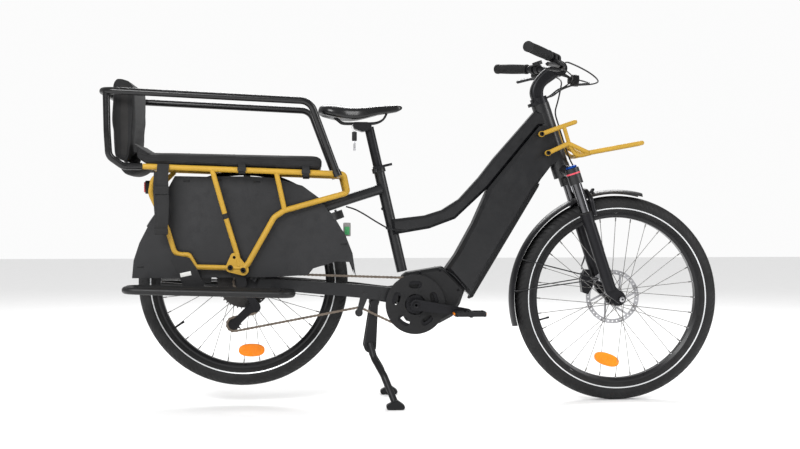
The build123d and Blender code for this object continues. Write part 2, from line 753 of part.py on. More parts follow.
def wheel_point(centre, radius, angle):
    """A (x, z) place at a radius and an angle up from ahead."""
    return (centre[0] + radius * cos(radians(angle)), centre[1] + radius * sin(radians(angle)))


front_guard = mudguard(front_axle, 358, 33, 76, 119)
stay_foot = on_steer(leg_lead - 21, 0, -604)
stay_foot = (stay_foot.X - contact_x, stay_foot.Z)
front_wires = []
for side in (-1, 1):
    for angle in (158, 176):
        tip = wheel_point(front_axle, 345, angle)
        front_wires.append(rod(at(*stay_foot, side * 66), at(*tip, side * 33), 4.0))
bridge_point = wheel_point(front_axle, 360, 103)
guard_tab = link([(*bridge_point, 5), (bridge_point[0] + 4, bridge_point[1] + 8, 4)], -9, 9)
with BuildPart() as front_fender:
    add(front_guard)
    add(front_wires)
    add(guard_tab)
    add(fork_lowers, mode=Mode.SUBTRACT)

rear_guard = mudguard(rear_axle, 360, 36, 22, 128)
with BuildPart() as rear_fender:
    add(rear_guard)

# ---------------------------------------------------------------- stem and handlebar
bar_centre = (-192.3, 1094.5)
bar_bend = (-232.2, 1110.4, 153.3)
grip_inner = (-263.0, 1115.0, 195.0)
grip_end = (-351.0, 1128.0, 314.0)


def bar_point(place, side):
    return at(place[0], place[1], side * place[2])


def grip_run(side):
    return (bar_point(grip_end, side) - bar_point(grip_inner, side)).normalized()


# Each brake control sits ahead of and below the bar, just inboard of its grip.
ahead_down = Vector(0.66, 0, -0.75)


def lever_plane(side):
    """The lever's pivot: sketch x runs out along the grip, y away from the bar."""
    along = grip_run(side)
    away = (ahead_down - along * ahead_down.dot(along)).normalized()
    pivot = bar_point(grip_inner, side) - along * 30 + away * 34
    return Plane(origin=pivot, x_dir=along, z_dir=along.cross(away))


def lever_point(side, out, away, up=0.0):
    return lever_plane(side).from_local_coords(Vector(out, away, up))


shift_along = grip_run(-1)
shift_centre = bar_point(grip_inner, -1) - shift_along * 52

# ---------------------------------------------------------------- hoses at the bar
entry_right = on_steer(26, -9, 14)
entry_left = on_steer(26, 9, 14)
entry_mid = on_steer(28, -1, 12)
hose_right = [lever_point(-1, -34, -6), at(-196, 1103, -140), at(-158, 1092, -122), at(-112, 1074, -98),
              at(-78, 1058, -62), at(-62, 1050, -18), at(-76, 1047, 22), at(-112, 1046, 38),
              at(-152, 1043, 34), at(-190, 1030, 24), at(-216, 1008, 14), entry_left]
hose_left = [lever_point(1, -34, -6), at(-188, 1098, 142), at(-146, 1083, 118), at(-104, 1067, 84),
             at(-84, 1056, 42), at(-88, 1048, 0), at(-116, 1044, -30), at(-154, 1038, -36),
             at(-190, 1024, -26), at(-214, 1004, -16), entry_right]
hose_shift = [shift_centre + Vector(17, 12, -30), at(-190, 1078, -110), at(-160, 1062, -78), at(-158, 1048, -46),
              at(-178, 1034, -22), at(-206, 1012, -6), entry_mid]
hose_fork = [lever_point(1, -34, 2, 6), at(-190, 1086, 138), at(-172, 1076, 104), at(-168, 1060, 66),
             at(-178, 1034, 34), at(-190, 990, 20), on_steer(41, 14, -40), on_steer(40, 12, -100),
             on_steer(40, 12, -160), on_steer(41, 15, -203), on_steer(54, 32, -250), on_steer(62, 56, -298),
             on_steer(60, 84, -346), on_steer(46, 97, -396), on_steer(36, 99, -450), on_steer(22, 100, -506),
             on_steer(0, 96, -546), on_steer(-18, 78, -560), on_steer(-24, 54, -567.5)]
control_hose_parts = [
    cord("right control hose", hose_right, 5.0), cord("left control hose", hose_left, 5.0),
    cord("shift cable", hose_shift, 4.0), cord("front brake hose", hose_fork, 5.0)]
with BuildPart() as control_hoses:
    add(control_hose_parts)

# ---------------------------------------------------------------- stem and bar pieces
stem_sections = [
    (at(-259, 990), Vector(-0.30, 0, 0.95), 34, 40),
    (at(-264, 1030), Vector(0.05, 0, 1.0), 43, 40),
    (at(-240, 1064), Vector(0.70, 0, 0.70), 44, 40),
    (at(-206, 1087), Vector(0.85, 0, 0.52), 40, 44)]
with BuildPart() as stem_body:
    for centre, heading, deep, wide in stem_sections:
        with BuildSketch(Plane(origin=centre, x_dir=(0, 1, 0), z_dir=heading)):
            RectangleRounded(wide, deep, 12)
    loft()
clamp_barrel = rod(at(*bar_centre, -24), at(*bar_centre, 24), 50.0)
with BuildPart() as stem:
    add(stem_body)
    add(clamp_barrel)
    add(rod(on_steer(0, 0, gap), on_steer(0, 0, 22), 56.0))
    add(rod(on_steer(-12, 0, gap), on_steer(-12, 0, 11), 56.0))
    add(rod(on_steer(0, 0, -1), on_steer(0, 0, 50), 28.6), mode=Mode.SUBTRACT)
    add(rod(at(*bar_centre, -30), at(*bar_centre, 30), 31.8), mode=Mode.SUBTRACT)
    add(control_hoses, mode=Mode.SUBTRACT)


bar_route = [bar_point(grip_end, -1) + grip_run(-1) * -3, bar_point(bar_bend, -1), at(*bar_centre, -62),
             at(*bar_centre, 62), bar_point(bar_bend, 1), bar_point(grip_end, 1) + grip_run(1) * -3]
with BuildPart() as handlebar:
    add(bent_tube(bar_route, 22.2, [55, 55, 55, 55]))
    add(rod(at(*bar_centre, -36), at(*bar_centre, 36), 31.8))
grip_bars = []
for side in (-1, 1):
    grip_bars.append(rod(bar_point(grip_inner, side) - grip_run(side) * 2, bar_point(grip_end, side), 34.0))
with BuildPart() as grips:
    add(grip_bars)
    add(handlebar, mode=Mode.SUBTRACT)


def control_body(side):
    along = grip_run(side)
    ring = rod(bar_point(grip_inner, side) - along * 34, bar_point(grip_inner, side) - along * 20, 32.0)
    cylinder = rod(lever_point(side, -34, -6, 0), lever_point(side, 14, -10, 0), 22.0)
    with BuildPart() as neck:
        with BuildSketch(lever_plane(side).offset(-8)):
            with Locations((2, -17)):
                Rectangle(13, 22)
        extrude(amount=16)
    return [ring, neck.part, cylinder]


def lever_slot(side):
    with BuildPart() as slot:
        with BuildSketch(lever_plane(side).offset(-6)):
            with Locations((4, 8)):
                Rectangle(60, 30)
        extrude(amount=12)
    return slot.part


with BuildPart() as bar_controls:
    for side in (-1, 1):
        add(control_body(side))
    add(rod(shift_centre - shift_along * 7, shift_centre + shift_along * 7, 32.0))
    add(rod(shift_centre + Vector(6, 0, -14), shift_centre + Vector(6, 0, -34), 30.0))
    add(rod(bar_point(grip_inner, 1) - grip_run(1) * 58, bar_point(grip_inner, 1) - grip_run(1) * 44, 32.0))
    add(rod(bar_point(grip_inner, 1) - grip_run(1) * 51 + Vector(0, 0, 14),
            bar_point(grip_inner, 1) - grip_run(1) * 51 + Vector(-4, 0, 26), 34.0))
    for side in (-1, 1):
        add(lever_slot(side), mode=Mode.SUBTRACT)
        add(rod(lever_point(side, 0, 0, -9), lever_point(side, 0, 0, 9), 5.0))
    add([handlebar, control_hoses], mode=Mode.SUBTRACT)


def make_lever(side):
    with BuildPart() as lever:
        with BuildSketch(lever_plane(side).offset(-4.5)):
            Circle(6)
            with Locations((34, 5)):
                Circle(4.5)
            make_hull()
        extrude(amount=9)
        with BuildSketch(lever_plane(side).offset(-4.5)):
            with Locations((34, 5)):
                Circle(4.5)
            with Locations((100, 18)):
                Circle(5)
            make_hull()
        extrude(amount=9)
        with BuildSketch(lever_plane(side).offset(-4.5)):
            Circle(2.5 + running)
        extrude(amount=9, mode=Mode.SUBTRACT)
    return lever.part


brake_lever_right = make_lever(-1)
brake_lever_left = make_lever(1)
shift_pivot = shift_centre + Vector(6, 0, -34 - gap)
shift_tip = shift_pivot + Vector(shift_along.X, shift_along.Y, 0).normalized() * 46 + Vector(-10, 0, 0)
with BuildPart() as shift_lever:
    with BuildSketch(Plane(origin=shift_pivot - Vector(0, 0, 6), x_dir=(1, 0, 0), z_dir=(0, 0, 1))):
        Circle(10)
        with Locations((shift_tip.X - shift_pivot.X, shift_tip.Y - shift_pivot.Y)):
            Circle(8)
        make_hull()
    extrude(amount=6)

lamp_centre = (-142.3, 1057.2)
lamp_axis = Vector(cos(radians(4)), 0, -sin(radians(4)))
lamp_front = at(*lamp_centre) + lamp_axis * 14
with BuildPart() as headlight:
    add(rod(lamp_front - lamp_axis * 22, lamp_front, 38.0))
    add(rod(lamp_front - lamp_axis * 32, lamp_front - lamp_axis * 21, 24.0))
    add(rod(lamp_front - lamp_axis * 24 + Vector(0, 0, 6), at(-183, 1083), 9.0))
    add([stem, handlebar], mode=Mode.SUBTRACT)

# ---------------------------------------------------------------- front rack
rack_arms = []
for side in (-1, 1):
    rack_arms.append(([at(-238, 814.6, side * 56), at(-170, 846, side * 56), at(-104, 815, side * 60),
                       at(-62, 823, side * 78)], 15.0, [18, 26]))
rack_arms.append(([at(-259.3, 876.2, -56), at(-187, 903, -56), at(-146, 917, -56), at(-146, 917, 56),
                   at(-187, 903, 56), at(-259.3, 876.2, 56)], 15.0, [40, 14, 14, 40]))
rack_arms.append(([at(-104, 816, -74), at(70, 848, -100), at(70, 848, 100), at(-104, 816, 74)], 15.0, 30))
for side in (-1, 1):
    rack_arms.append(([at(-186, 903, side * 56), at(-166, 840, side * 52), at(-142, 803, side * 50),
                       at(-98, 814, side * 62)], 13.0, [40, 26]))
rack_arms.append(([at(-141, 806, -50), at(-141, 806, 50)], 13.0, 0))
slats = []
for place in range(6):
    x = -92 + 29 * place
    reach = 74 + (x + 104) * 0.15
    slats.append(rod(at(x, 812 + (x + 104) * 0.184, -reach), at(x, 812 + (x + 104) * 0.184, reach), 9.0))
with BuildPart() as front_rack:
    for points, diameter, bend in rack_arms:
        if len(points) == 2:
            add(rod(points[0], points[1], diameter))
        else:
            add(bent_tube(points, diameter, bend))
    add(slats)
    for x, z in rack_bosses:
        for side in (-1, 1):
            add(rod(at(x, z, side * 48.2), at(x, z, side * 64), 19.0))
    for x, z in rack_bosses:
        add(rod(at(x, z, -70), at(x, z, 70), 8.0), mode=Mode.SUBTRACT)

# ---------------------------------------------------------------- rear carrier
rail_y, low_y = 158.0, 132.0


def carrier_side(side):
    top, low = side * rail_y, side * low_y
    return [
        ([at(-1530, 764.5, top), at(-906, 742, top), at(-893, 684, side * 124), at(-1094, 627, side * 128),
          at(-1125, 606, low), at(-1206, 462, low), at(-1224, 440, low)], 18.0, [14, 12, 40, 30, 12]),
        ([at(-1222, 446, low), at(-1370, 450, low), at(-1391, 488, low), at(-1434, 490, low),
          at(-1457, 569, side * 138), at(-1508, 680, side * 150), at(-1500, 722, side * 156),
          at(-1466, 756, top)], 16.0, [10, 10, 24, 60, 40, 24]),
        ([at(-1317, 756, top), at(-1274, 600, side * 142), at(-1240, 486, low), at(-1236, 452, low)], 16.0, [40, 20]),
        ([at(-1118, 750, top), at(-1092, 628, side * 129)], 16.0, 0)]


def fork_plate(side):
    return link([(-1222, 440, 17), (-1262, 448, 15), (-1250, 482, 12)], side * 126, side * 138)


cross_bars = [(-1516, 764), (-1317, 757), (-1118, 750), (-915, 742)]
tube_wall = 2.0
carrier_tubes, carrier_rails = [], []
for side in (-1, 1):
    for points, diameter, bend in carrier_side(side):
        if len(points) == 2:
            carrier_tubes.append(rod(points[0], points[1], diameter, diameter - 2 * tube_wall))
        else:
            carrier_tubes.append(bent_tube(points, diameter, bend, diameter - 2 * tube_wall))
    rail_points, rail_diameter, rail_bends = carrier_side(side)[0]
    carrier_rails.append(bent_tube(rail_points, rail_diameter, rail_bends))
with BuildPart() as rear_carrier:
    for tube in carrier_tubes:
        add(tube)
    for side in (-1, 1):
        add(fork_plate(side))
    for x, z in cross_bars:
        add(rod(at(x, z, -rail_y), at(x, z, rail_y), 14.0))
    add(rod(at(-1507, 688, -150), at(-1507, 688, 150), 14.0))
    for hole in ((-1222, 440), (-1262, 448), (-1250, 480)):
        add(rod(at(*hole, -145), at(*hole, 145), 10.0), mode=Mode.SUBTRACT)


# ---------------------------------------------------------------- footboards
def board_height(x):
    """The boards slope with the bicycle, nose down."""
    return 386 - (x + 1580) * 0.0285


board_back, board_front = -1572.0, -1068.0
board_in, board_out = 152.0, 284.0


def board_hoop(side):
    points = [at(board_back, board_height(board_back), side * board_in),
              at(board_back, board_height(board_back), side * board_out),
              at(board_front, board_height(board_front), side * board_out),
              at(board_front, board_height(board_front), side * board_in)]
    with BuildPart() as hoop:
        with BuildLine() as route:
            FilletPolyline(*points, radius=40, close=True)
        with BuildSketch(Plane(origin=route.line @ 0, z_dir=route.line % 0)):
            Circle(11)
        sweep()
    return hoop.part


def board_deck(side):
    top = 9
    back, front = board_height(board_back), board_height(board_front)
    return slab([(board_back + 4, back + top - 4), (board_front - 4, front + top - 4),
                 (board_front - 4, front + top), (board_back + 4, back + top)], side * 154, side * 282)


with BuildPart() as footboards:
    for side in (-1, 1):
        add(board_hoop(side))
        add(board_deck(side))
brace_outline = [(-1438, 489), (-1388, 479), (-1366, 446), (-1343, 392), (-1408, 392), (-1446, 470)]
bracket_plates = []
for side in (-1, 1):
    bracket_plates.append(slab(brace_outline, side * 141.5, side * 146.5))
    bracket_plates.append(slab([(-1408, 404), (-1343, 404), (-1343, 380), (-1408, 380)], side * 141.5, side * 152))
    bracket_plates.append(link([(*rear_axle, 15), (-1242, 462, 20)], side * 112, side * 118))
    bracket_plates.append(link([(*rear_axle, 15), (-1244, 446, 10)], side * 92.2, side * 118))
    bracket_plates.append(rod(at(-1222, 440, side * 112), at(-1222, 440, side * 142), 9.6))
    bracket_plates.append(rod(at(-1262, 448, side * 112), at(-1262, 448, side * 142), 9.6))
    bracket_plates.append(rod(at(-1130, board_height(-1130), side * 84), at(-1130, board_height(-1130), side * 150),
                              18.0))
with BuildPart() as carrier_brackets:
    add(bracket_plates)
    add([rear_carrier, footboards, rear_triangle], mode=Mode.SUBTRACT)

# ---------------------------------------------------------------- wheel skirts
skirt_outline = [(-1571, 414), (-1566, 470), (-1548, 525), (-1520, 580), (-1489, 617), (-1462, 690),
                 (-1437, 736), (-1330, 734), (-1209, 736), (-1121, 730), (-1036, 706), (-984, 668),
                 (-932, 595), (-901, 553), (-877, 491), (-866, 414), (-884, 463), (-929, 465), (-1002, 443),
                 (-1019, 422), (-1139, 416)]


with BuildPart() as wheel_skirts:
    for side in (-1, 1):
        add(slab(skirt_outline, side * 107, side * 109))
    add([rear_triangle, carrier_brackets], mode=Mode.SUBTRACT)

# ---------------------------------------------------------------- passenger seat
with BuildPart() as seat_cushion:
    with BuildSketch(side_plane()):
        Polygon((-1524, 775), (-970, 755), (-968, 785), (-978, 793), (-1512, 804), (-1552, 827), (-1556, 796),
                align=None)
    extrude(amount=165, both=True)
with BuildPart() as backrest:
    with BuildSketch(side_plane()):
        Polygon((-1578, 773), (-1617, 788), (-1626, 910), (-1622, 1034), (-1608, 1044), (-1575, 1036),
                (-1561, 1020), (-1560, 911), (-1566, 836), align=None)
    extrude(amount=150, both=True)
top_loop = [at(-931, 753, -168), at(-1011, 967, -198), at(-1652, 997, -200), at(-1652, 997, 200),
            at(-1011, 967, 198), at(-931, 753, 168)]
with BuildPart() as safety_bar:
    add(bent_tube(top_loop, 22.0, [45, 50, 50, 45], 22.0 - 2 * tube_wall))
    for side in (-1, 1):
        upright = [at(-1637, 996, side * 186), at(-1634, 870, side * 190), at(-1630, 795, side * 184),
                   at(-1588, 764, side * 168), at(-1532, 764.5, side * 158)]
        add(bent_tube(upright, 22.0, [300, 30, 30], 22.0 - 2 * tube_wall))
        add(rod(at(-931, 753, side * 168), at(-924, 736, side * 166), 26.0))
    add([rear_carrier, *carrier_rails], mode=Mode.SUBTRACT)
with BuildPart() as carrier_strap:
    with BuildSketch(side_plane(-176)):
        Polygon((-1486, 742), (-1448, 742), (-1452, 560), (-1478, 548), (-1490, 560), align=None)
    extrude(amount=3)
with BuildPart() as tail_light:
    with BuildSketch(Plane(origin=at(-1520, 702), x_dir=(0, 1, 0), z_dir=(-1, 0, 0))):
        RectangleRounded(78, 42, 8)
    extrude(amount=18)
    add(rod(at(-1521, 694, 0), at(-1515.2, 692, 0), 16.0))

# ---------------------------------------------------------------- ring lock
lock_rise = radians(lock_lean)
lock_plane = Plane(origin=at(*lock_centre), x_dir=(-cos(lock_rise), 0, -sin(lock_rise)),
                   z_dir=(-sin(lock_rise), 0, cos(lock_rise)))


def lock_ring(start, size, inner, outer, low, high):
    """Part of the lock's ring; angles run from the wheel's side of the plane."""
    with BuildPart() as ring:
        with BuildSketch(Plane(origin=lock_plane.origin, x_dir=lock_plane.x_dir, z_dir=lock_plane.y_dir)):
            with Locations(((inner + outer) / 2, -(low + high) / 2)):
                Rectangle(outer - inner, high - low)
        revolve(axis=Axis(lock_plane.origin, lock_plane.z_dir), revolution_arc=size)
    turn = Location(lock_plane) * Location((0, 0, 0), (0, 0, start)) * Location(lock_plane).inverse()
    return ring.part.moved(turn)


def lock_bar(start, size, radius):
    with BuildPart() as bar:
        with BuildSketch(Plane(origin=lock_plane.origin + lock_plane.x_dir * lock_radius,
                               x_dir=lock_plane.x_dir, z_dir=lock_plane.y_dir)):
            Circle(radius)
        revolve(axis=Axis(lock_plane.origin, lock_plane.z_dir), revolution_arc=size)
    turn = Location(lock_plane) * Location((0, 0, 0), (0, 0, start)) * Location(lock_plane).inverse()
    return bar.part.moved(turn)


lock_case = lock_ring(45, 270, 48, 76, -13, 13)
with BuildPart() as ring_lock:
    add(lock_case)
    add(lock_bar(44, 122, 4.8), mode=Mode.SUBTRACT)
    add(lock_bar(300, 16, 4.8), mode=Mode.SUBTRACT)
    add(lock_ring(44, 120, 58.5, 65.5, 0, 14), mode=Mode.SUBTRACT)
with BuildPart() as lock_shackle:
    add(lock_bar(48, 110, 4.2))
    add(lock_ring(150, 6, 59.5, 64.5, 0, 20))

# ---------------------------------------------------------------- rear brake
with BuildPart() as rear_caliper:
    with BuildSketch(side_plane(70)):
        Polygon((-1172, 404), (-1110, 398), (-1104, 432), (-1126, 450), (-1168, 446), align=None)
    extrude(amount=28)
    with BuildSketch(side_plane(58.5)):
        with Locations(rear_axle):
            Circle(94)
    extrude(amount=5, mode=Mode.SUBTRACT)
    add(rear_triangle, mode=Mode.SUBTRACT)

# ---------------------------------------------------------------- written pieces
pieces = {
    "head_tube": head_tube, "headset": headset.part, "top_tube": top_tube.part,
    "down_tube": down_tube_bossed.part, "battery": battery.part, "battery_cover": battery_cover.part,
    "seat_tube": seat_tube.part, "clamp_lever": clamp_lever.part, "rear_triangle": rear_triangle.part,
    "motor": motor.part, "crankset": crankset.part, "ring_guard": ring_guard.part,
    "pedal_right": pedal_right, "pedal_left": pedal_left, "chain": chain.part, "cassette": cassette.part,
    "jockey_upper": jockey_upper, "jockey_lower": jockey_lower, "idler_wheel": idler_wheel.part,
    "derailleur": derailleur.part,
    "front_tyre": front_tyre, "front_rim": front_rim, "front_spokes": front_spokes,
    "front_hub": front_hub, "front_rotor": front_rotor, "rear_tyre": rear_tyre, "rear_rim": rear_rim,
    "rear_spokes": rear_spokes, "rear_hub": rear_hub.part,
    "fork_crown": fork_crown.part, "fork_lowers": fork_lowers.part, "front_caliper": front_caliper.part,
    "front_fender": front_fender.part, "rear_fender": rear_fender.part,
    "stem": stem.part, "handlebar": handlebar.part, "grips": grips.part, "bar_controls": bar_controls.part,
    "brake_lever_right": brake_lever_right, "brake_lever_left": brake_lever_left,
    "shift_lever": shift_lever.part, "headlight": headlight.part, "control_hoses": control_hoses.part,
    "front_rack": front_rack.part, "rear_carrier": rear_carrier.part, "footboards": footboards.part,
    "carrier_brackets": carrier_brackets.part, "wheel_skirts": wheel_skirts.part,
    "seat_cushion": seat_cushion.part, "backrest": backrest.part, "safety_bar": safety_bar.part,
    "carrier_strap": carrier_strap.part, "tail_light": tail_light.part, "ring_lock": ring_lock.part,
    "lock_shackle": lock_shackle.part, "rear_caliper": rear_caliper.part, "rear_hose": rear_hose.part,
    "seatpost": seatpost.part, "saddle": saddle.part, "stand": stand.part,
}
for name, part in pieces.items():
    write(part, name)
print(len(pieces), "pieces")
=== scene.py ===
"""The looks of a long-tail electric cargo bicycle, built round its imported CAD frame."""

import json
import math

import bmesh
import bpy
from mathutils import Matrix, Vector
from mathutils.bvhtree import BVHTree


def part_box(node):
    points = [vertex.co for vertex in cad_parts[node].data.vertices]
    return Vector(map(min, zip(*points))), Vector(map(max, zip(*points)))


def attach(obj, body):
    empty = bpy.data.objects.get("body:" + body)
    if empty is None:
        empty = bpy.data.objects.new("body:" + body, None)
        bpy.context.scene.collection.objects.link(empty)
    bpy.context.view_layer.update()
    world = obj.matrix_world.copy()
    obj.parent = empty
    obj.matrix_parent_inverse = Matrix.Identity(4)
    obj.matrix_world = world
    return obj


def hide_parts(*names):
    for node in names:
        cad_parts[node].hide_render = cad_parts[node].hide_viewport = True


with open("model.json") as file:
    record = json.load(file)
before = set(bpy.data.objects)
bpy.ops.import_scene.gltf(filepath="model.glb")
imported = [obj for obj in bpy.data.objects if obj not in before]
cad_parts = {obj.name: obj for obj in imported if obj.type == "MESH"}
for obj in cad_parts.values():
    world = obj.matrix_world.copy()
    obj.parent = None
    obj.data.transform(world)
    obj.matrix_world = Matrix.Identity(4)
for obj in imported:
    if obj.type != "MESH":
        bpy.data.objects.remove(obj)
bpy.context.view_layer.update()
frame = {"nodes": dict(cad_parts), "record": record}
nodes = frame["nodes"]

# ---------------------------------------------------------------- places
# Lengths below are millimetres ahead of the front tyre's contact point, above the floor
# and to the rider's left.  The CAD boxes and joints give where that point is.
tyre_low, tyre_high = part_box("front_tyre")
contact_x = (tyre_low[0] + tyre_high[0]) / 2
wheel_radius = (tyre_high[2] - tyre_low[2]) / 2 * 1000
joints = {joint["name"]: joint for joint in frame["record"]["behaviour"]["joints"]}


def at(x, z, y=0.0):
    return Vector((contact_x + x / 1000, y / 1000, z / 1000))


def joint_place(name):
    """A joint's (x, z) in the millimetre frame."""
    place = joints[name]["pos_m"]
    return ((place[0] - contact_x) * 1000, place[2] * 1000)


front_axle = joint_place("front_wheel_spin")
rear_axle = joint_place("rear_wheel_spin")
bracket = joint_place("crank_spin")
guide_pulley = joint_place("jockey_upper_spin")
tension_pulley = joint_place("jockey_lower_spin")
idler = joint_place("idler_spin")
steer_origin = Vector(joints["steering_turn"]["pos_m"])
steer_up = Vector(joints["steering_turn"]["axis"]).normalized()
steer_ahead = Vector((steer_up.z, 0, -steer_up.x))
seat_up = Vector(joints["saddle_height"]["axis"]).normalized()
chain_y = -52.0
sides = {"right": -1, "left": 1}


def on_steer(ahead, y, up):
    return steer_origin + steer_ahead * (ahead / 1000) + Vector((0, y / 1000, 0)) + steer_up * (up / 1000)


# ---------------------------------------------------------------- materials
def shader(name, colour, rough, metallic=0.0, shine=0.5, **sockets):
    """A new material with constant values on its shader, and helpers to add to it."""
    material = bpy.data.materials.new(name)
    material.use_nodes = True
    surface = material.node_tree.nodes["Principled BSDF"]
    surface.inputs["Base Color"].default_value = (*colour, 1.0)
    surface.inputs["Roughness"].default_value = rough
    surface.inputs["Metallic"].default_value = metallic
    surface.inputs["Specular IOR Level"].default_value = shine
    for socket, value in sockets.items():
        surface.inputs[socket.replace("_", " ")].default_value = value
    return material


def node(material, kind, values=None, **settings):
    made = material.node_tree.nodes.new(kind)
    for key, value in settings.items():
        setattr(made, key, value)
    for key, value in (values or {}).items():
        made.inputs[key].default_value = value
    return made


def wire(material, start, end):
    material.node_tree.links.new(start, end)


def carry(material, value, socket):
    """Lets a value drive a socket of the material's shader."""
    wire(material, value, material.node_tree.nodes["Principled BSDF"].inputs[socket])


def object_place(material, stretch=(1, 1, 1)):
    place = node(material, "ShaderNodeTexCoord")
    scale = node(material, "ShaderNodeMapping", {"Scale": stretch})
    wire(material, place.outputs["Object"], scale.inputs["Vector"])
    return scale.outputs["Vector"]


def grain(material, vector, scale, detail=3.0, roughness=0.55):
    texture = node(material, "ShaderNodeTexNoise", {"Scale": scale, "Detail": detail, "Roughness": roughness})
    wire(material, vector, texture.inputs["Vector"])
    return texture.outputs["Fac"]


def ramp(material, value, stops):
    ramped = node(material, "ShaderNodeValToRGB")
    wire(material, value, ramped.inputs["Fac"])
    bar = ramped.color_ramp
    bar.elements[0].position, bar.elements[0].color = stops[0][0], (*stops[0][1], 1)
    bar.elements[1].position, bar.elements[1].color = stops[1][0], (*stops[1][1], 1)
    for position, colour in stops[2:]:
        bar.elements.new(position).color = (*colour, 1)
    return ramped.outputs["Color"]


def span(material, value, low, high, start=0.3, end=0.7):
    limits = {"From Min": start, "From Max": end, "To Min": low, "To Max": high}
    ranged = node(material, "ShaderNodeMapRange", limits)
    wire(material, value, ranged.inputs["Value"])
    return ranged.outputs["Result"]


def bump(material, height, strength, distance, after=None):
    raised = node(material, "ShaderNodeBump", {"Strength": strength, "Distance": distance})
    wire(material, height, raised.inputs["Height"])
    if after is not None:
        wire(material, after, raised.inputs["Normal"])
    carry(material, raised.outputs["Normal"], "Normal")
    return raised.outputs["Normal"]


def shade(colour, factor):
    return tuple(min(1.0, channel * factor) for channel in colour)


def wear(material, value, rough, low=0.85, high=1.25):
    """Lets a value carry the roughness a little below and above its middle."""
    carry(material, span(material, value, rough * low, min(1.0, rough * high)), "Roughness")


def tint(material, value, colour, dark, pale, end=0.7):
    """Lets a value carry the colour between a darker and a paler tone of it."""
    tones = ramp(material, value, [(0.3, shade(colour, dark)), (end, shade(colour, pale))])
    carry(material, tones, "Base Color")


def finished(name, colour, rough, metallic=0.0, fine=900.0, depth=0.00006, spread=0.18, **sockets):
    """A painted or moulded surface: broad tone changes, hand-worn roughness and a fine grain."""
    material = shader(name, colour, rough, metallic, **sockets)
    vector = object_place(material)
    tint(material, grain(material, vector, 9.0, 4.0), colour, 1 - spread, 1 + spread)
    wear(material, grain(material, vector, 38.0, 5.0, 0.65), rough)
    bump(material, grain(material, vector, fine, 2.0), 0.35, depth)
    return material


def moulded(name, colour, rough, cell=0.0011, depth=0.00012, strength=0.45, dished=False, **sockets):
    """Textured plastic: the leather-like stipple of a moulded part, on a gently uneven sheet if dished."""
    material = finished(name, colour, rough, spread=0.22, **sockets)
    broad = bump(material, grain(material, object_place(material), 3.2, 1.0), 0.6, 0.03) if dished else None
    cells = node(material, "ShaderNodeTexVoronoi", {"Scale": 1 / cell}, feature="SMOOTH_F1")
    wire(material, object_place(material), cells.inputs["Vector"])
    bump(material, cells.outputs["Distance"], strength, depth, after=broad)
    return material


def brushed(name, colour, rough, stretch=(30, 1, 30), fine=60.0, metallic=1.0):
    """Bare metal with fine scratches drawn out one way."""
    material = shader(name, colour, rough, metallic)
    lines = grain(material, object_place(material, stretch), fine, 6.0, 0.7)
    broad = grain(material, object_place(material), 25.0, 4.0)
    tint(material, broad, colour, 0.75, 1.15)
    wear(material, lines, rough, 0.75, 1.35)
    bump(material, lines, 0.2, 0.00005)
    return material


def woven(name, colour, thread=0.0011, rough=0.85, sheen=0.25, depth=0.00035):
    """Plain-weave cloth: two crossed sets of threads, pilled and a little faded."""
    material = shader(name, colour, rough, Sheen_Weight=sheen, Sheen_Roughness=0.4)
    vector = object_place(material)
    heights = []
    for direction in ("X", "Y", "Z"):
        weave = {"Scale": 1 / thread / 6.0, "Distortion": 0.6, "Detail": 1.0, "Detail Scale": 4.0}
        threads = node(material, "ShaderNodeTexWave", weave, wave_type="BANDS", bands_direction=direction)
        wire(material, vector, threads.inputs["Vector"])
        heights.append(threads.outputs["Fac"])
    first = node(material, "ShaderNodeMath", operation="MULTIPLY")
    wire(material, heights[0], first.inputs[0])
    wire(material, heights[1], first.inputs[1])
    both = node(material, "ShaderNodeMath", operation="ADD")
    wire(material, first.outputs[0], both.inputs[0])
    wire(material, heights[2], both.inputs[1])
    fade = grain(material, vector, 14.0, 5.0)
    tint(material, fade, colour, 0.7, 1.5, end=0.72)
    pills = grain(material, vector, 420.0, 3.0)
    soft = bump(material, pills, 0.3, 0.0004)
    bump(material, both.outputs[0], 0.5, depth, after=soft)
    return material


def glossy_leather(name, colour, rough):
    material = shader(name, colour, rough, Coat_Weight=0.15, Coat_Roughness=0.14, shine=0.4)
    vector = object_place(material)
    creases = node(material, "ShaderNodeTexVoronoi", {"Scale": 620.0}, feature="DISTANCE_TO_EDGE")
    wire(material, vector, creases.inputs["Vector"])
    tone = grain(material, vector, 18.0, 4.0)
    tint(material, tone, colour, 0.7, 1.5)
    wear(material, tone, rough, 0.8, 1.3)
    bump(material, creases.outputs["Distance"], 0.25, 0.00015)
    return material


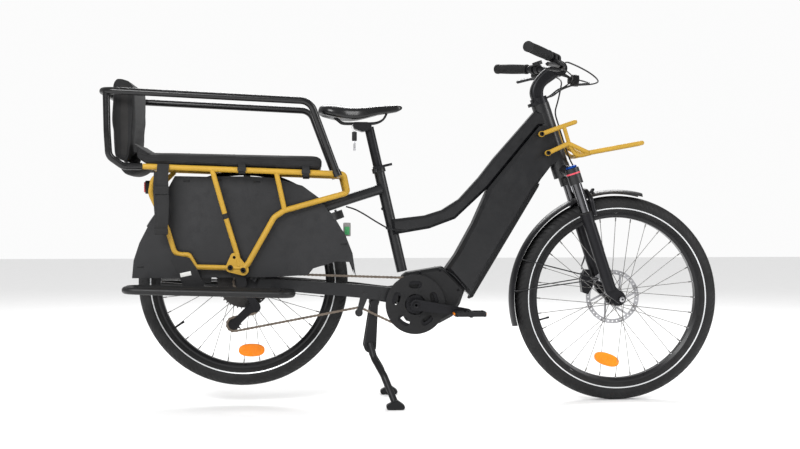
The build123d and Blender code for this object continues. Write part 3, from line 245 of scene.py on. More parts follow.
def two_finish(name, low_colour, low_rough, high_colour, high_rough, level, metallic=(1.0, 0.0)):
    """One finish below a level along the steering axis and another above it."""
    material = shader(name, high_colour, high_rough)
    place = node(material, "ShaderNodeTexCoord")
    along = node(material, "ShaderNodeVectorMath", operation="DOT_PRODUCT")
    along.inputs[1].default_value = steer_up
    wire(material, place.outputs["Object"], along.inputs[0])
    edge = (steer_origin + steer_up * (level / 1000)).dot(steer_up)
    mask = node(material, "ShaderNodeMath", operation="GREATER_THAN")
    wire(material, along.outputs["Value"], mask.inputs[0])
    mask.inputs[1].default_value = edge
    cast = grain(material, object_place(material), 500.0, 3.0)
    cast_tone = ramp(material, cast, [(0.3, shade(high_colour, 0.75)), (0.7, shade(high_colour, 1.3))])
    mix = node(material, "ShaderNodeMix", data_type="RGBA")
    wire(material, mask.outputs[0], mix.inputs["Factor"])
    for socket in mix.inputs:
        if socket.name == "A" and socket.type == "RGBA":
            socket.default_value = (*low_colour, 1)
        if socket.name == "B" and socket.type == "RGBA":
            wire(material, cast_tone, socket)
    colour_out = [socket for socket in mix.outputs if socket.type == "RGBA"][0]
    carry(material, colour_out, "Base Color")
    carry(material, span(material, mask.outputs[0], low_rough, high_rough, 0.0, 1.0), "Roughness")
    carry(material, span(material, mask.outputs[0], *metallic, 0.0, 1.0), "Metallic")
    bump(material, cast, 0.15, 0.00006)
    return material


frame_paint = finished("frame_paint", (0.005, 0.0052, 0.0062), 0.36, shine=0.42,
                       Coat_Weight=0.1, Coat_Roughness=0.3)
gloss_paint = finished("gloss_paint", (0.0045, 0.0045, 0.005), 0.24, fine=500.0, depth=0.00005, shine=0.45)
mustard = finished("mustard_paint", (0.40, 0.235, 0.024), 0.45, fine=1400.0, depth=0.00006, spread=0.08,
                   shine=0.3)
cover_plastic = moulded("cover_plastic", (0.0045, 0.0045, 0.0052), 0.46, shine=0.35)
skirt_plastic = moulded("skirt_plastic", (0.0062, 0.0064, 0.0078), 0.4, cell=1 / 620.0, strength=0.4,
                        dished=True, shine=0.5)
board_plastic = moulded("board_plastic", (0.006, 0.006, 0.0065), 0.42, cell=0.0035, depth=0.0004, shine=0.4)
guard_plastic = finished("guard_plastic", (0.009, 0.009, 0.0105), 0.36, shine=0.4)
dark_metal = finished("dark_metal", (0.014, 0.014, 0.016), 0.36, metallic=0.6, shine=0.35)
forged = finished("forged_metal", (0.011, 0.011, 0.012), 0.42, metallic=0.4, fine=300.0, depth=0.00015,
                  shine=0.35)
bracket_paint = finished("bracket_paint", (0.0065, 0.0065, 0.0075), 0.4, shine=0.4)
silver = brushed("silver_metal", (0.62, 0.62, 0.64), 0.28)
steel = brushed("disc_steel", (0.5, 0.5, 0.52), 0.3, stretch=(1, 1, 1), fine=700.0)
cog_steel = brushed("cog_steel", (0.05, 0.048, 0.047), 0.36)
chain_steel = brushed("chain_steel", (0.2, 0.165, 0.135), 0.36)
spoke_steel = brushed("spoke_steel", (0.19, 0.185, 0.18), 0.34)
rim_metal = finished("rim_metal", (0.006, 0.006, 0.007), 0.3, metallic=0.2, shine=0.45)
tyre_rubber = finished("tyre_rubber", (0.0085, 0.0085, 0.009), 0.6, fine=1600.0, depth=0.00012, spread=0.3,
                       shine=0.3)
grip_rubber = moulded("grip_rubber", (0.009, 0.009, 0.0095), 0.6, cell=0.0014, shine=0.3)
hose_jacket = finished("hose_jacket", (0.006, 0.006, 0.007), 0.4, fine=700.0, shine=0.35)
seat_cloth = woven("seat_cloth", (0.0055, 0.0055, 0.0062), sheen=0.03)
panel_cloth = woven("panel_cloth", (0.010, 0.0092, 0.009), thread=0.0016, sheen=0.04)
webbing = woven("webbing", (0.005, 0.005, 0.0056), thread=0.0019, rough=0.75, sheen=0.05, depth=0.0006)
saddle_cover = glossy_leather("saddle_cover", (0.0045, 0.0045, 0.005), 0.26)
amber = finished("amber_lens", (0.9, 0.24, 0.004), 0.24, spread=0.12, fine=320.0, depth=0.0004, shine=0.3)
red_lens = finished("red_lens", (0.5, 0.012, 0.012), 0.12, spread=0.1, fine=380.0, depth=0.0004,
                    Coat_Weight=0.6)
white_plastic = finished("white_plastic", (0.6, 0.6, 0.58), 0.4, spread=0.05)
reflective = finished("reflective_band", (0.62, 0.63, 0.64), 0.32, metallic=0.35, spread=0.06)
blue_cap = finished("blue_cap", (0.01, 0.07, 0.36), 0.3, metallic=0.8)
red_band = finished("red_band", (0.6, 0.06, 0.09), 0.35)
green_label = finished("green_label", (0.02, 0.2, 0.06), 0.45)
grey_label = finished("grey_label", (0.16, 0.155, 0.15), 0.5)
lamp_glass = finished("lamp_glass", (0.75, 0.77, 0.8), 0.06, metallic=0.9, spread=0.1, fine=260.0,
                      depth=0.0005)
fork_finish = two_finish("fork_finish", (0.1, 0.1, 0.105), 0.12, (0.007, 0.007, 0.008), 0.4, -284)

finish_of = {
    frame_paint: "head_tube top_tube down_tube seat_tube rear_triangle",
    gloss_paint: "safety_bar",
    mustard: "rear_carrier front_rack",
    cover_plastic: "battery_cover motor ring_guard battery bar_controls shift_lever ring_lock pedal_right "
                   "pedal_left jockey_upper jockey_lower idler_wheel headlight tail_light",
    skirt_plastic: "wheel_skirts",
    board_plastic: "footboards",
    guard_plastic: "front_fender rear_fender",
    dark_metal: "stem handlebar fork_lowers brake_lever_right brake_lever_left clamp_lever seatpost crankset "
                "derailleur front_caliper rear_caliper headset front_hub rear_hub",
    forged: "stand",
    bracket_paint: "carrier_brackets",
    steel: "front_rotor lock_shackle",
    cog_steel: "cassette",
    chain_steel: "chain",
    spoke_steel: "front_spokes rear_spokes",
    rim_metal: "front_rim rear_rim",
    hose_jacket: "control_hoses rear_hose",
    fork_finish: "fork_crown",
    tyre_rubber: "front_tyre rear_tyre",
    grip_rubber: "grips",
    seat_cloth: "seat_cushion backrest",
    webbing: "carrier_strap",
    saddle_cover: "saddle",
}
for material, names in finish_of.items():
    for name in names.split():
        for material_slot in nodes[name].material_slots:
            material_slot.material = material


# ---------------------------------------------------------------- mesh building
def skin(bm, rings, closed=False):
    """Joins rings of vertices into a skin, and closes it at both ends or on itself."""
    for low, high in zip(rings, rings[1:] + (rings[:1] if closed else [])):
        for step in range(len(low)):
            after = (step + 1) % len(low)
            bm.faces.new((low[step], low[after], high[after], high[step]))
    if not closed:
        bm.faces.new(rings[0])
        bm.faces.new(rings[-1])


def lathe(bm, origin, axis, profile, segments=32, closed=False):
    """Turns (along, radius) points, in millimetres, about an axis."""
    axis = axis.normalized()
    side = axis.orthogonal().normalized()
    other = axis.cross(side)
    rings = []
    for along, radius in profile:
        centre = origin + axis * (along / 1000)
        if radius == 0:
            rings.append([bm.verts.new(centre)])
            continue
        ring = []
        for step in range(segments):
            angle = 2 * math.pi * step / segments
            outward = side * math.cos(angle) + other * math.sin(angle)
            ring.append(bm.verts.new(centre + outward * (radius / 1000)))
        rings.append(ring)
    for low, high in zip(rings, rings[1:] + (rings[:1] if closed else [])):
        for step in range(segments):
            after = (step + 1) % segments
            corners = list(dict.fromkeys([low[step % len(low)], low[after % len(low)],
                                          high[after % len(high)], high[step % len(high)]]))
            if len(corners) > 2:
                bm.faces.new(corners)
    for ring in () if closed else (rings[0], rings[-1]):
        if len(ring) > 2:
            bm.faces.new(ring)


def smooth_path(points, steps, closed=False):
    """Points along a smooth curve through the given ones."""
    count = len(points)
    made = []
    runs = count if closed else count - 1
    for run in range(runs):
        if closed:
            a, b, c, d = (points[(run + k) % count] for k in (-1, 0, 1, 2))
        else:
            a, b, c, d = (points[min(max(run + k, 0), count - 1)] for k in (-1, 0, 1, 2))
        for step in range(steps):
            t = step / steps
            made.append(0.5 * ((2 * b) + (c - a) * t + (2 * a - 5 * b + 4 * c - d) * t * t
                               + (3 * b - a - 3 * c + d) * t ** 3))
    if not closed:
        made.append(points[-1].copy())
    return made


def tube(bm, path, width, height=None, segments=10, closed=False, across=None):
    """Sweeps an oval of the given full width and height, in millimetres, along a path."""
    height = height or width
    count = len(path)
    normal = None
    rings = []
    for place, point in enumerate(path):
        before = path[place - 1] if place or closed else point
        after = path[(place + 1) % count] if place < count - 1 or closed else point
        heading = (after - before).normalized()
        if across is not None:
            normal = (across - heading * across.dot(heading)).normalized()
        elif normal is None:
            normal = heading.orthogonal().normalized()
        else:
            normal = (normal - heading * normal.dot(heading)).normalized()
        other = heading.cross(normal)
        ring = []
        for step in range(segments):
            angle = 2 * math.pi * (step + 0.5) / segments
            ring.append(bm.verts.new(point + normal * (math.cos(angle) * width / 2000)
                                     + other * (math.sin(angle) * height / 2000)))
        rings.append(ring)
    skin(bm, rings, closed)


def block(bm, centre, size, bevel, turn=None):
    """A box with rounded edges; size and bevel in millimetres."""
    made = bmesh.ops.create_cube(bm, size=1.0)
    verts = made["verts"]
    bmesh.ops.scale(bm, vec=Vector(size) / 1000, verts=verts)
    edges = list({edge for vert in verts for edge in vert.link_edges})
    rounded = bmesh.ops.bevel(bm, geom=edges, offset=bevel / 1000, segments=3, profile=0.5, affect="EDGES")
    new_verts = {vert for face in rounded["faces"] for vert in face.verts}
    verts = list(new_verts | {vert for vert in verts if vert.is_valid})
    turn = turn or Matrix.Identity(3)
    for vert in verts:
        vert.co = turn @ vert.co + centre


def plate(bm, outline, thickness, place, u, v):
    """A flat plate of an outline of (u, v) millimetres, centred on its plane."""
    normal = u.cross(v).normalized()
    faces = []
    for away in (-0.5, 0.5):
        lift = normal * (thickness / 1000 * away)
        faces.append([bm.verts.new(place + u * (a / 1000) + v * (b / 1000) + lift) for a, b in outline])
    bm.faces.new(faces[0])
    bm.faces.new(faces[1])
    for step in range(len(outline)):
        after = (step + 1) % len(outline)
        bm.faces.new((faces[0][step], faces[0][after], faces[1][after], faces[1][step]))


def bolt(bm, centre, axis, radius, height=None):
    """A button-head bolt with a hexagon socket."""
    height = height or radius * 0.75
    lathe(bm, centre, axis, [(-1.0, radius * 0.9), (0, radius), (height * 0.55, radius * 0.96),
                             (height, radius * 0.62), (height, radius * 0.42)], 24)
    lathe(bm, centre, axis, [(height * 0.3, radius * 0.42), (height, radius * 0.42)], 6)


def link(made):
    bpy.context.scene.collection.objects.link(made)


def piece(bm, name, body, material, smooth_angle=35.0):
    """Closes a mesh into an object that rides on a body."""
    bmesh.ops.recalc_face_normals(bm, faces=bm.faces)
    mesh = bpy.data.meshes.new(name)
    bm.to_mesh(mesh)
    bm.free()
    made = bpy.data.objects.new(name, mesh)
    link(made)
    mesh.materials.append(material)
    mesh.shade_smooth()
    mesh.set_sharp_from_angle(angle=math.radians(smooth_angle))
    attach(made, body)
    return made


def block_piece(name, body, slot, material, *boxes):
    """A piece made of rounded boxes, each a centre, a size, a bevel and perhaps a turn."""
    bm = bmesh.new()
    for box in boxes:
        block(bm, *box)
    piece(bm, name, body, material, 40)


across = Vector((0, 1, 0))
ahead = Vector((1, 0, 0))
upward = Vector((0, 0, 1))


# ---------------------------------------------------------------- tyres
tread_edge = 307
tread_pitches = 104
tread_slant = 0.055
groove_depth = 2.0
band_inner = 294.5
band_outer = 299.5


def tyre_section(steps):
    """(y, radius) points round the outside of a tyre, from one bead to the other."""
    shape = [(-18, 281), (-27, 293), (-31, 307), (-27.6, 320.5), (-17, 332.2), (0, wheel_radius),
             (17, 332.2), (27.6, 320.5), (31, 307), (27, 293), (18, 281)]
    return [(p.x, p.y) for p in smooth_path([Vector((*point, 0)) for point in shape], steps)]


def tread_depth(y, radius, angle):
    """How deep the tread is cut at a place, in millimetres."""
    if radius < tread_edge:
        return 0.0
    across_tread = abs(y)
    phase = (angle / (2 * math.pi) * tread_pitches + across_tread * tread_slant) % 1.0
    groove = 1.0 if phase < 0.3 and across_tread > 5 else 0.0
    sipe = 0.6 if 0.6 < phase < 0.72 and 9 < across_tread < 21 else 0.0
    rib = 0.8 if 3.2 < across_tread < 5.2 else 0.0
    fade = min(1.0, (radius - tread_edge) / 5)
    return groove_depth * fade * max(groove, sipe, rib)


def build_tyre(wheel, centre):
    bm = bmesh.new()
    around = 832
    section = tyre_section(8)
    inner = [(18, 280.9), (23, 293.5), (26.5, 307), (18, 326), (0, wheel_radius - 5),
             (-18, 326), (-26.5, 307), (-23, 293.5), (-18, 280.9)]
    ring_points = [(y, radius, True) for y, radius in section]
    ring_points += [(y, radius, False) for y, radius in inner[1:-1]]
    rings = []
    for step in range(around):
        angle = 2 * math.pi * step / around
        ring = []
        for y, radius, outer in ring_points:
            reach = radius - (tread_depth(y, radius, angle) if outer else 0.0)
            x, z = centre[0] + reach * math.cos(angle), centre[1] + reach * math.sin(angle)
            ring.append(bm.verts.new(at(x, z, y)))
        rings.append(ring)
    skin(bm, rings, closed=True)
    tyre = piece(bm, f"{wheel}_tyre_tread", f"{wheel}_wheel", tyre_rubber, 40)
    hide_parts(f"{wheel}_tyre")
    bands = bmesh.new()
    for side in (-1, 1):
        edge = [(y, radius) for y, radius in section if band_inner < radius < band_outer and y * side > 0]
        edge.sort(key=lambda point: point[1])
        outside = [(y + side * 0.35, radius) for y, radius in edge]
        inside = [(y - side * 0.6, radius) for y, radius in reversed(edge)]
        lathe(bands, at(*centre), across, outside + inside, 160, closed=True)
    piece(bands, f"{wheel}_reflective_bands", f"{wheel}_wheel", reflective, 60)


for wheel, centre in (("front", front_axle), ("rear", rear_axle)):
    build_tyre(wheel, centre)


# ---------------------------------------------------------------- wheel trim
def wheel_reflector(name, body, centre, tilt):
    """An amber reflector clipped between the spokes: a ribbed oval in a thin case."""
    turn = Matrix.Rotation(-math.radians(tilt), 3, "Y")
    bm = bmesh.new()
    outline = []
    for step in range(36):
        angle = math.radians(10 * step)
        c, s = math.cos(angle), math.sin(angle)
        outline.append((42 * math.copysign(abs(c) ** 0.85, c), 20.5 * math.copysign(abs(s) ** 0.85, s)))
    u, v = turn @ ahead, turn @ upward
    plate(bm, outline, 15.0, at(*centre), u, v)
    for side in (-1, 1):
        small = [(a * 0.93, b * 0.84) for a, b in outline]
        plate(bm, small, 1.4, at(*centre, side * 8.0), u, v)
        for rib in range(-3, 4):
            tall = 15 - abs(rib) * 2.2
            foot = at(*centre, side * 8.9) + u * (rib * 9 / 1000)
            path = [foot + v * (reach / 1000) for reach in (-tall, 0, tall)]
            tube(bm, path, 1.4, 1.2, 6)
    piece(bm, name, body, amber, 30)


wheel_reflector("rear_wheel_reflector", "rear_wheel", (-1201.6, 172.7), 0)
wheel_reflector("front_wheel_reflector", "front_wheel", (-29.7, 132.5), -18)


def build_valve(name, body, centre, angle):
    direction = Vector((math.cos(math.radians(angle)), 0, math.sin(math.radians(angle))))
    foot = at(*centre) + direction * 0.267
    bm = bmesh.new()
    profile = [(-2, 4.2), (1.5, 4.2), (1.8, 3.1), (26, 3.1), (26.5, 3.6), (34, 3.6), (35, 2.4)]
    lathe(bm, foot, -direction, profile, 16)
    piece(bm, name, body, dark_metal)


build_valve("front_valve", "front_wheel", front_axle, 196)
build_valve("rear_valve", "rear_wheel", rear_axle, 214)


def build_nipples(name, body, centre):
    bm = bmesh.new()
    for index in range(32):
        angle = math.radians(index * 11.25)
        direction = Vector((math.cos(angle), 0, math.sin(angle)))
        foot = at(*centre, 3.0 if index % 2 else -3.0) + direction * 0.2665
        lathe(bm, foot, -direction, [(-1, 3.0), (0.4, 3.0), (1.4, 2.2), (2.2, 2.1)], 10)
    piece(bm, name, body, silver)


build_nipples("front_nipples", "front_wheel", front_axle)
build_nipples("rear_nipples", "rear_wheel", rear_axle)


# ---------------------------------------------------------------- chain
chain_pitch = 12.7
ring_teeth = 42
driven_teeth = 15
pulley_teeth = 11
idler_radius = 17.0


def pitch_radius(teeth):
    return chain_pitch / (2 * math.sin(math.pi / teeth))


def chain_places():
    """Points along the chain's run, as (x, z) steps of about a millimetre."""
    wheels = [(bracket, pitch_radius(ring_teeth), 1), (rear_axle, pitch_radius(driven_teeth), 1),
              (guide_pulley, pitch_radius(pulley_teeth), -1), (tension_pulley, pitch_radius(pulley_teeth), 1),
              (idler, idler_radius, -1)]
    signed = [(centre, sense * radius) for centre, radius, sense in wheels]
    headings = []
    for (here, r_here), (there, r_there) in zip(signed, signed[1:] + signed[:1]):
        dx, dz = there[0] - here[0], there[1] - here[1]
        headings.append(math.atan2(dz, dx) + math.asin((r_here - r_there) / math.hypot(dx, dz)))
    path = []
    for place, (centre, radius) in enumerate(signed):
        come, leave = headings[place - 1], headings[place]
        full = 2 * math.pi
        turn = (leave - come) % full if radius > 0 else -((come - leave) % full)
        steps = max(2, int(abs(radius * turn) / 2))
        for step in range(steps + 1):
            heading = come + turn * step / steps
            path.append((centre[0] + radius * math.sin(heading), centre[1] - radius * math.cos(heading)))
    return path


def build_chain():
    path = chain_places()
    path.append(path[0])
    lengths = [0.0]
    for here, there in zip(path, path[1:]):
        lengths.append(lengths[-1] + math.dist(here, there))
    links = 2 * round(lengths[-1] / chain_pitch / 2)
    pins = []
    place = 0
    for link in range(links):
        wanted = lengths[-1] * link / links
        while lengths[place + 1] < wanted:
            place += 1
        share = (wanted - lengths[place]) / (lengths[place + 1] - lengths[place])
        pins.append(tuple(a + (b - a) * share for a, b in zip(path[place], path[place + 1])))
    bm = bmesh.new()
    outline = []
    for end, start in ((1, -90), (-1, 90)):
        for step in range(7):
            angle = math.radians(start + 30 * step)
            outline.append((end * chain_pitch / 2 + 4.0 * math.cos(angle), 4.0 * math.sin(angle)))
    waist = outline[:7] + [(0, 3.0)] + outline[7:] + [(0, -3.0)]
    for number, (x, z) in enumerate(pins):
        next_x, next_z = pins[(number + 1) % links]
        middle = ((x + next_x) / 2, (z + next_z) / 2)
        along = Vector((next_x - x, 0, next_z - z)).normalized()
        away = along.cross(across)
        apart = 2.55 if number % 2 else 1.7
        for side in (-1, 1):
            plate(bm, waist, 0.8, at(*middle, chain_y + side * apart), along, away)
        lathe(bm, at(x, z, chain_y - 1.2), across, [(0, 3.7), (2.4, 3.7)], 10)
        lathe(bm, at(x, z, chain_y - 3.3), across, [(0, 1.8), (6.6, 1.8)], 8)
    made = piece(bm, "chain_links", "frame", chain_steel, 30)
    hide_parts("chain")


build_chain()


# ---------------------------------------------------------------- passenger seat
def simulate_padding(pad, cap, frames=20, pressure=4.0):
    """Blows the cover up against its own cloth and limits how far any point moves."""
    rest = [vertex.co.copy() for vertex in pad.data.vertices]
    cloth = pad.modifiers.new("cover", "CLOTH")
    settings = cloth.settings
    settings.quality = 4
    settings.use_pressure = True
    settings.uniform_pressure_force = pressure
    settings.effector_weights.gravity = 0.0
    settings.tension_stiffness = 12
    settings.compression_stiffness = 12
    settings.bending_stiffness = 0.6
    cloth.collision_settings.use_collision = False
    scene = bpy.context.scene
    cloth.point_cache.frame_start = 1
    cloth.point_cache.frame_end = frames
    for step in range(1, frames + 1):
        scene.frame_set(step)
    graph = bpy.context.evaluated_depsgraph_get()
    shaped = pad.evaluated_get(graph)
    moved = [vertex.co.copy() for vertex in shaped.data.vertices]
    pad.modifiers.remove(cloth)
    for vertex, start, end in zip(pad.data.vertices, rest, moved):
        step = end - start
        if step.length > cap:
            step = step.normalized() * cap
        vertex.co = start + step
    scene.frame_set(1)


def bake(pad, modifier):
    """Makes what a modifier shows into the object's own mesh."""
    graph = bpy.context.evaluated_depsgraph_get()
    shown = bpy.data.meshes.new_from_object(pad.evaluated_get(graph))
    pad.modifiers.remove(modifier)
    pad.data = shown
    return shown


def padded_cover(node_name, name, voxel, cap, shrink, material):
    """A stuffed cover blown up inside the space of its CAD solid."""
    low, high = (Vector(corner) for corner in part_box(node_name))
    middle, size = (low + high) / 2, high - low
    mesh = nodes[node_name].data.copy()
    pad = bpy.data.objects.new(name, mesh)
    link(pad)
    factor = [(size[k] - 2 * shrink) / size[k] for k in range(3)]
    for vertex in mesh.vertices:
        offset = vertex.co - middle
        vertex.co = middle + Vector([offset[k] * factor[k] for k in range(3)])
    remesh = pad.modifiers.new("remesh", "REMESH")
    remesh.mode = "VOXEL"
    remesh.voxel_size = voxel
    baked = bake(pad, remesh)
    relax = bmesh.new()
    relax.from_mesh(baked)
    for _ in range(2):
        bmesh.ops.smooth_vert(relax, verts=relax.verts, factor=0.5, use_axis_x=True, use_axis_y=True,
                              use_axis_z=True)
    relax.to_mesh(baked)
    relax.free()
    simulate_padding(pad, cap)
    finer = pad.modifiers.new("finer", "SUBSURF")
    finer.levels = 1
    finer.render_levels = 1
    final = bake(pad, finer)
    final.materials.clear()
    final.materials.append(material)
    final.shade_smooth()
    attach(pad, "frame")
    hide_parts(node_name)
    return pad


def surface_of(made):
    return BVHTree.FromPolygons([vertex.co for vertex in made.data.vertices],
                                [tuple(face.vertices) for face in made.data.polygons])


def seam(name, pad, points, width, material, closed=True):
    """Piping sewn along the nearest line on a cover's surface."""
    tree = surface_of(pad)
    snapped = [tree.find_nearest(point)[0] for point in smooth_path(points, 6, closed)]
    bm = bmesh.new()
    tube(bm, snapped, width, segments=8, closed=closed)
    return piece(bm, name, "frame", material, 60)


cushion = padded_cover("seat_cushion", "cushion_cover", 0.006, 0.006, 0.002, seat_cloth)
back = padded_cover("backrest", "backrest_cover", 0.006, 0.004, 0.001, seat_cloth)


def cushion_ring(lift, y_half):
    """A closed line round the cushion at a height above its lower face."""
    front, rear = -972, -1538
    corners = [(front, 756 + lift), (-1240, 766 + lift), (rear, 777 + lift)]
    return [at(x, z, -y_half) for x, z in corners] + [at(x, z, y_half) for x, z in reversed(corners)]


seam("cushion_lower_seam", cushion, cushion_ring(6, 166), 3.2, webbing)
seam("cushion_upper_seam", cushion, cushion_ring(30, 166), 3.2, webbing)
for number, x in enumerate((-1110, -1250, -1390)):
    line = [at(x, 830, y) for y in (-150, -90, -30, 30, 90, 150)]
    seam(f"cushion_channel_{number}", cushion, line, 1.8, webbing, closed=False)
for number, y in enumerate((-151, 151)):
    edge = [at(-1575, 790, y), at(-1563, 900, y), at(-1563, 1015, y), at(-1592, 1044, y), at(-1624, 1030, y),
            at(-1626, 905, y), at(-1615, 795, y)]
    seam(f"backrest_seam_{number}", back, edge, 3.0, webbing)


def edge_of(grid):
    """The vertices round the outside of a grid of rows, in order."""
    return grid[0] + [row[-1] for row in grid[1:]] + grid[-1][-2::-1] + [row[0] for row in grid[-2:0:-1]]


# the cover's paler panel down the backrest's front edge, where it faces the side
for side_name, side in sides.items():
    bm = bmesh.new()
    tree = surface_of(back)
    rows = []
    for step in range(15):
        z = 800 + step * 15.5
        row = []
        for x in (-1600, -1594, -1588, -1582, -1576):
            spot = tree.find_nearest(at(x, z, side * 165))
            row.append(bm.verts.new(spot[0] + spot[1] * 0.0009))
        rows.append(row)
    under = [[bm.verts.new(vertex.co - Vector((0, side * 0.002, 0))) for vertex in row] for row in rows]
    for sheet_rows in (rows, under):
        for low, high in zip(sheet_rows, sheet_rows[1:]):
            for k in range(4):
                bm.faces.new((low[k], low[k + 1], high[k + 1], high[k]))
    rim_top, rim_low = (edge_of(grid) for grid in (rows, under))
    for k in range(len(rim_top)):
        after = (k + 1) % len(rim_top)
        bm.faces.new((rim_top[k], rim_top[after], rim_low[after], rim_low[k]))
    piece(bm, f"backrest_panel_{side_name}", "frame", panel_cloth, 60)

# straps that hold the cushion to the carrier's rails
for side_name, side in sides.items():
    bm = bmesh.new()
    for x, z in ((-1224, 753.5), (-1025, 746)):
        loop = [at(x, z + up, side * y) for up, y in ((26, 152), (14, 168), (0, 170.5), (-10, 163),
                                                      (-11, 153), (-2, 146), (10, 146))]
        tube(bm, smooth_path(loop, 6), 24, 1.8, 8, across=ahead)
        block(bm, at(x, z + 3, side * 172), (27, 3, 13), 1.2)
    piece(bm, f"cushion_straps_{side_name}", "frame", webbing)


# the fabric pocket slung under the seat's rear end: a sagging closed bag between the rails
bm = bmesh.new()
rings = []
for y, sag in ((-138, 0.55), (-128, 0.86), (-80, 0.97), (0, 1.0), (80, 0.97), (128, 0.86), (138, 0.55)):
    shape = [(-1606, 771), (-1560, 772), (-1528, 771), (-1533, 756), (-1552, 741), (-1576, 736), (-1597, 744),
             (-1607, 758)]
    ring = [at(-1568 + (x + 1568) * sag, 771 + (z - 771) * sag, y) for x, z in shape]
    rings.append([bm.verts.new(point) for point in smooth_path(ring, 5, closed=True)])
skin(bm, rings)
seat_pocket = piece(bm, "seat_pocket", "frame", seat_cloth, 70)

# the cover's stiff flap that rises from the cushion to the backrest
bm = bmesh.new()
rings = []
for y in (-156, -150, -75, 0, 75, 150, 156):
    inset = 3.0 if abs(y) > 155 else 0.0
    shape = [(-1508, 806 - inset), (-1530, 819 - inset), (-1556, 836 - inset), (-1559, 830),
             (-1558, 806 + inset), (-1530, 803 + inset)]
    rings.append([bm.verts.new(at(x, z, y)) for x, z in shape])
skin(bm, rings)
piece(bm, "cushion_flap", "frame", seat_cloth, 40)


# ---------------------------------------------------------------- saddle
def build_saddle():
    """A padded touring saddle: wide at the back, with a dished middle and a turned-down skirt."""
    stations = [(-985, 12, 955, 943), (-981, 44, 964, 935), (-970, 66, 969, 928), (-950, 80, 971, 921),
                (-930, 82, 970, 916), (-905, 76, 967, 912), (-880, 62, 965, 911), (-855, 45, 964, 914),
                (-825, 34, 965.5, 922), (-790, 27, 968.5, 933), (-755, 22, 971, 939), (-730, 18, 972, 944),
                (-717, 12, 970.5, 951), (-711, 5, 966, 958)]
    bm = bmesh.new()
    around = 28
    rings = []
    for x, half, top, low in stations:
        ring = []
        for step in range(around):
            angle = 2 * math.pi * step / around
            c, s = math.cos(angle), math.sin(angle)
            y = half * math.copysign(abs(c) ** 0.75, c)
            middle = low + (top - low) * 0.42
            if s >= 0:
                z = middle + (top - middle) * abs(s) ** 0.65
                z -= 3.0 * math.exp(-(y / 7.0) ** 2) * (1 if -965 < x < -760 else 0)
            else:
                z = middle - (middle - low) * abs(s) ** 0.6
                z += (middle - low) * 0.9 * math.exp(-(y / (half * 0.7)) ** 2)
            ring.append(bm.verts.new(at(x, z, y)))
        rings.append(ring)
    skin(bm, rings)
    bmesh.ops.subdivide_edges(bm, edges=bm.edges, cuts=1, use_grid_fill=True, smooth=1.0)
    return bm


saddle_shell = piece(build_saddle(), "saddle_shell", "seat_post", saddle_cover, 80)
rails = bmesh.new()
for side in (-1, 1):
    run = [at(x, z, side * y) for x, z, y in ((-938, 938, 41), (-920, 922, 32), (-903, 911.5, 23),
                                              (-860, 911, 22), (-815, 911, 22), (-790, 915, 18),
                                              (-772, 926, 13), (-762, 944, 10))]
    tube(rails, smooth_path(run, 6), 7.0, segments=12)
saddle_rails = piece(rails, "saddle_rails", "seat_post", dark_metal, 60)
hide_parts("saddle")
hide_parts("saddle")
saddle_seam = bmesh.new()
tree = surface_of(saddle_shell)
for side in (-1, 1):
    stitch = [at(x, z, side * y) for x, z, y in ((-975, 962, 50), (-940, 962, 78), (-900, 960, 68),
                                                 (-860, 958, 42), (-800, 962, 22), (-750, 966, 17),
                                                 (-722, 966, 10))]
    snapped = [tree.find_nearest(point)[0] for point in smooth_path(stitch, 8)]
    tube(saddle_seam, snapped, 1.6, segments=6)
piece(saddle_seam, "saddle_stitching", "seat_post", gloss_paint, 60)

# ---------------------------------------------------------------- grips
for side_name, side in sides.items():
    inner, outer = at(-263.0, 1115.0, side * 195.0), at(-351.0, 1128.0, side * 314.0)
    length = (outer - inner).length * 1000
    bm = bmesh.new()
    profile = [(-2, 11.6), (-2, 15.5), (0, 16.8), (7, 16.8), (8, 15.2)]
    ribs = 34
    for rib in range(ribs):
        start = 9 + rib * (length - 22) / ribs
        swell = 1.1 * math.sin(math.pi * rib / ribs)
        profile += [(start, 14.8 + swell), (start + 1.1, 15.7 + swell), (start + 2.3, 15.7 + swell),
                    (start + 3.2, 14.8 + swell)]
    profile += [(length - 11, 15.4), (length - 10, 16.9), (length - 2, 16.9), (length, 15.4), (length, 0)]
    lathe(bm, inner, outer - inner, profile, 40)
    made = piece(bm, f"grip_{side_name}", "steering", grip_rubber, 30)
    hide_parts("grips")

# ---------------------------------------------------------------- webbing strap on the carrier
bm = bmesh.new()
strap = [at(-1466, 772, -166), at(-1467, 756, -172), at(-1468, 720, -176), at(-1466, 660, -177.5),
         at(-1468, 600, -177.5), at(-1472, 560, -176)]
tube(bm, smooth_path(strap, 8), 38, 2.2, 12, across=ahead)
second = [at(-1484, 748, -172), at(-1486, 700, -174), at(-1484, 640, -174.5), at(-1480, 590, -174)]
tube(bm, smooth_path(second, 8), 22, 1.8, 10, across=ahead)
block(bm, at(-1470, 690, -179), (44, 5, 26), 2.0)
block(bm, at(-1472, 562, -177), (42, 6, 20), 2.0)
webbing_strap = piece(bm, "webbing_strap", "frame", webbing)
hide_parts("carrier_strap")

# ---------------------------------------------------------------- bolts and small metal
bolts = {}


def bolt_group(body):
    return bolts.setdefault(body, bmesh.new())


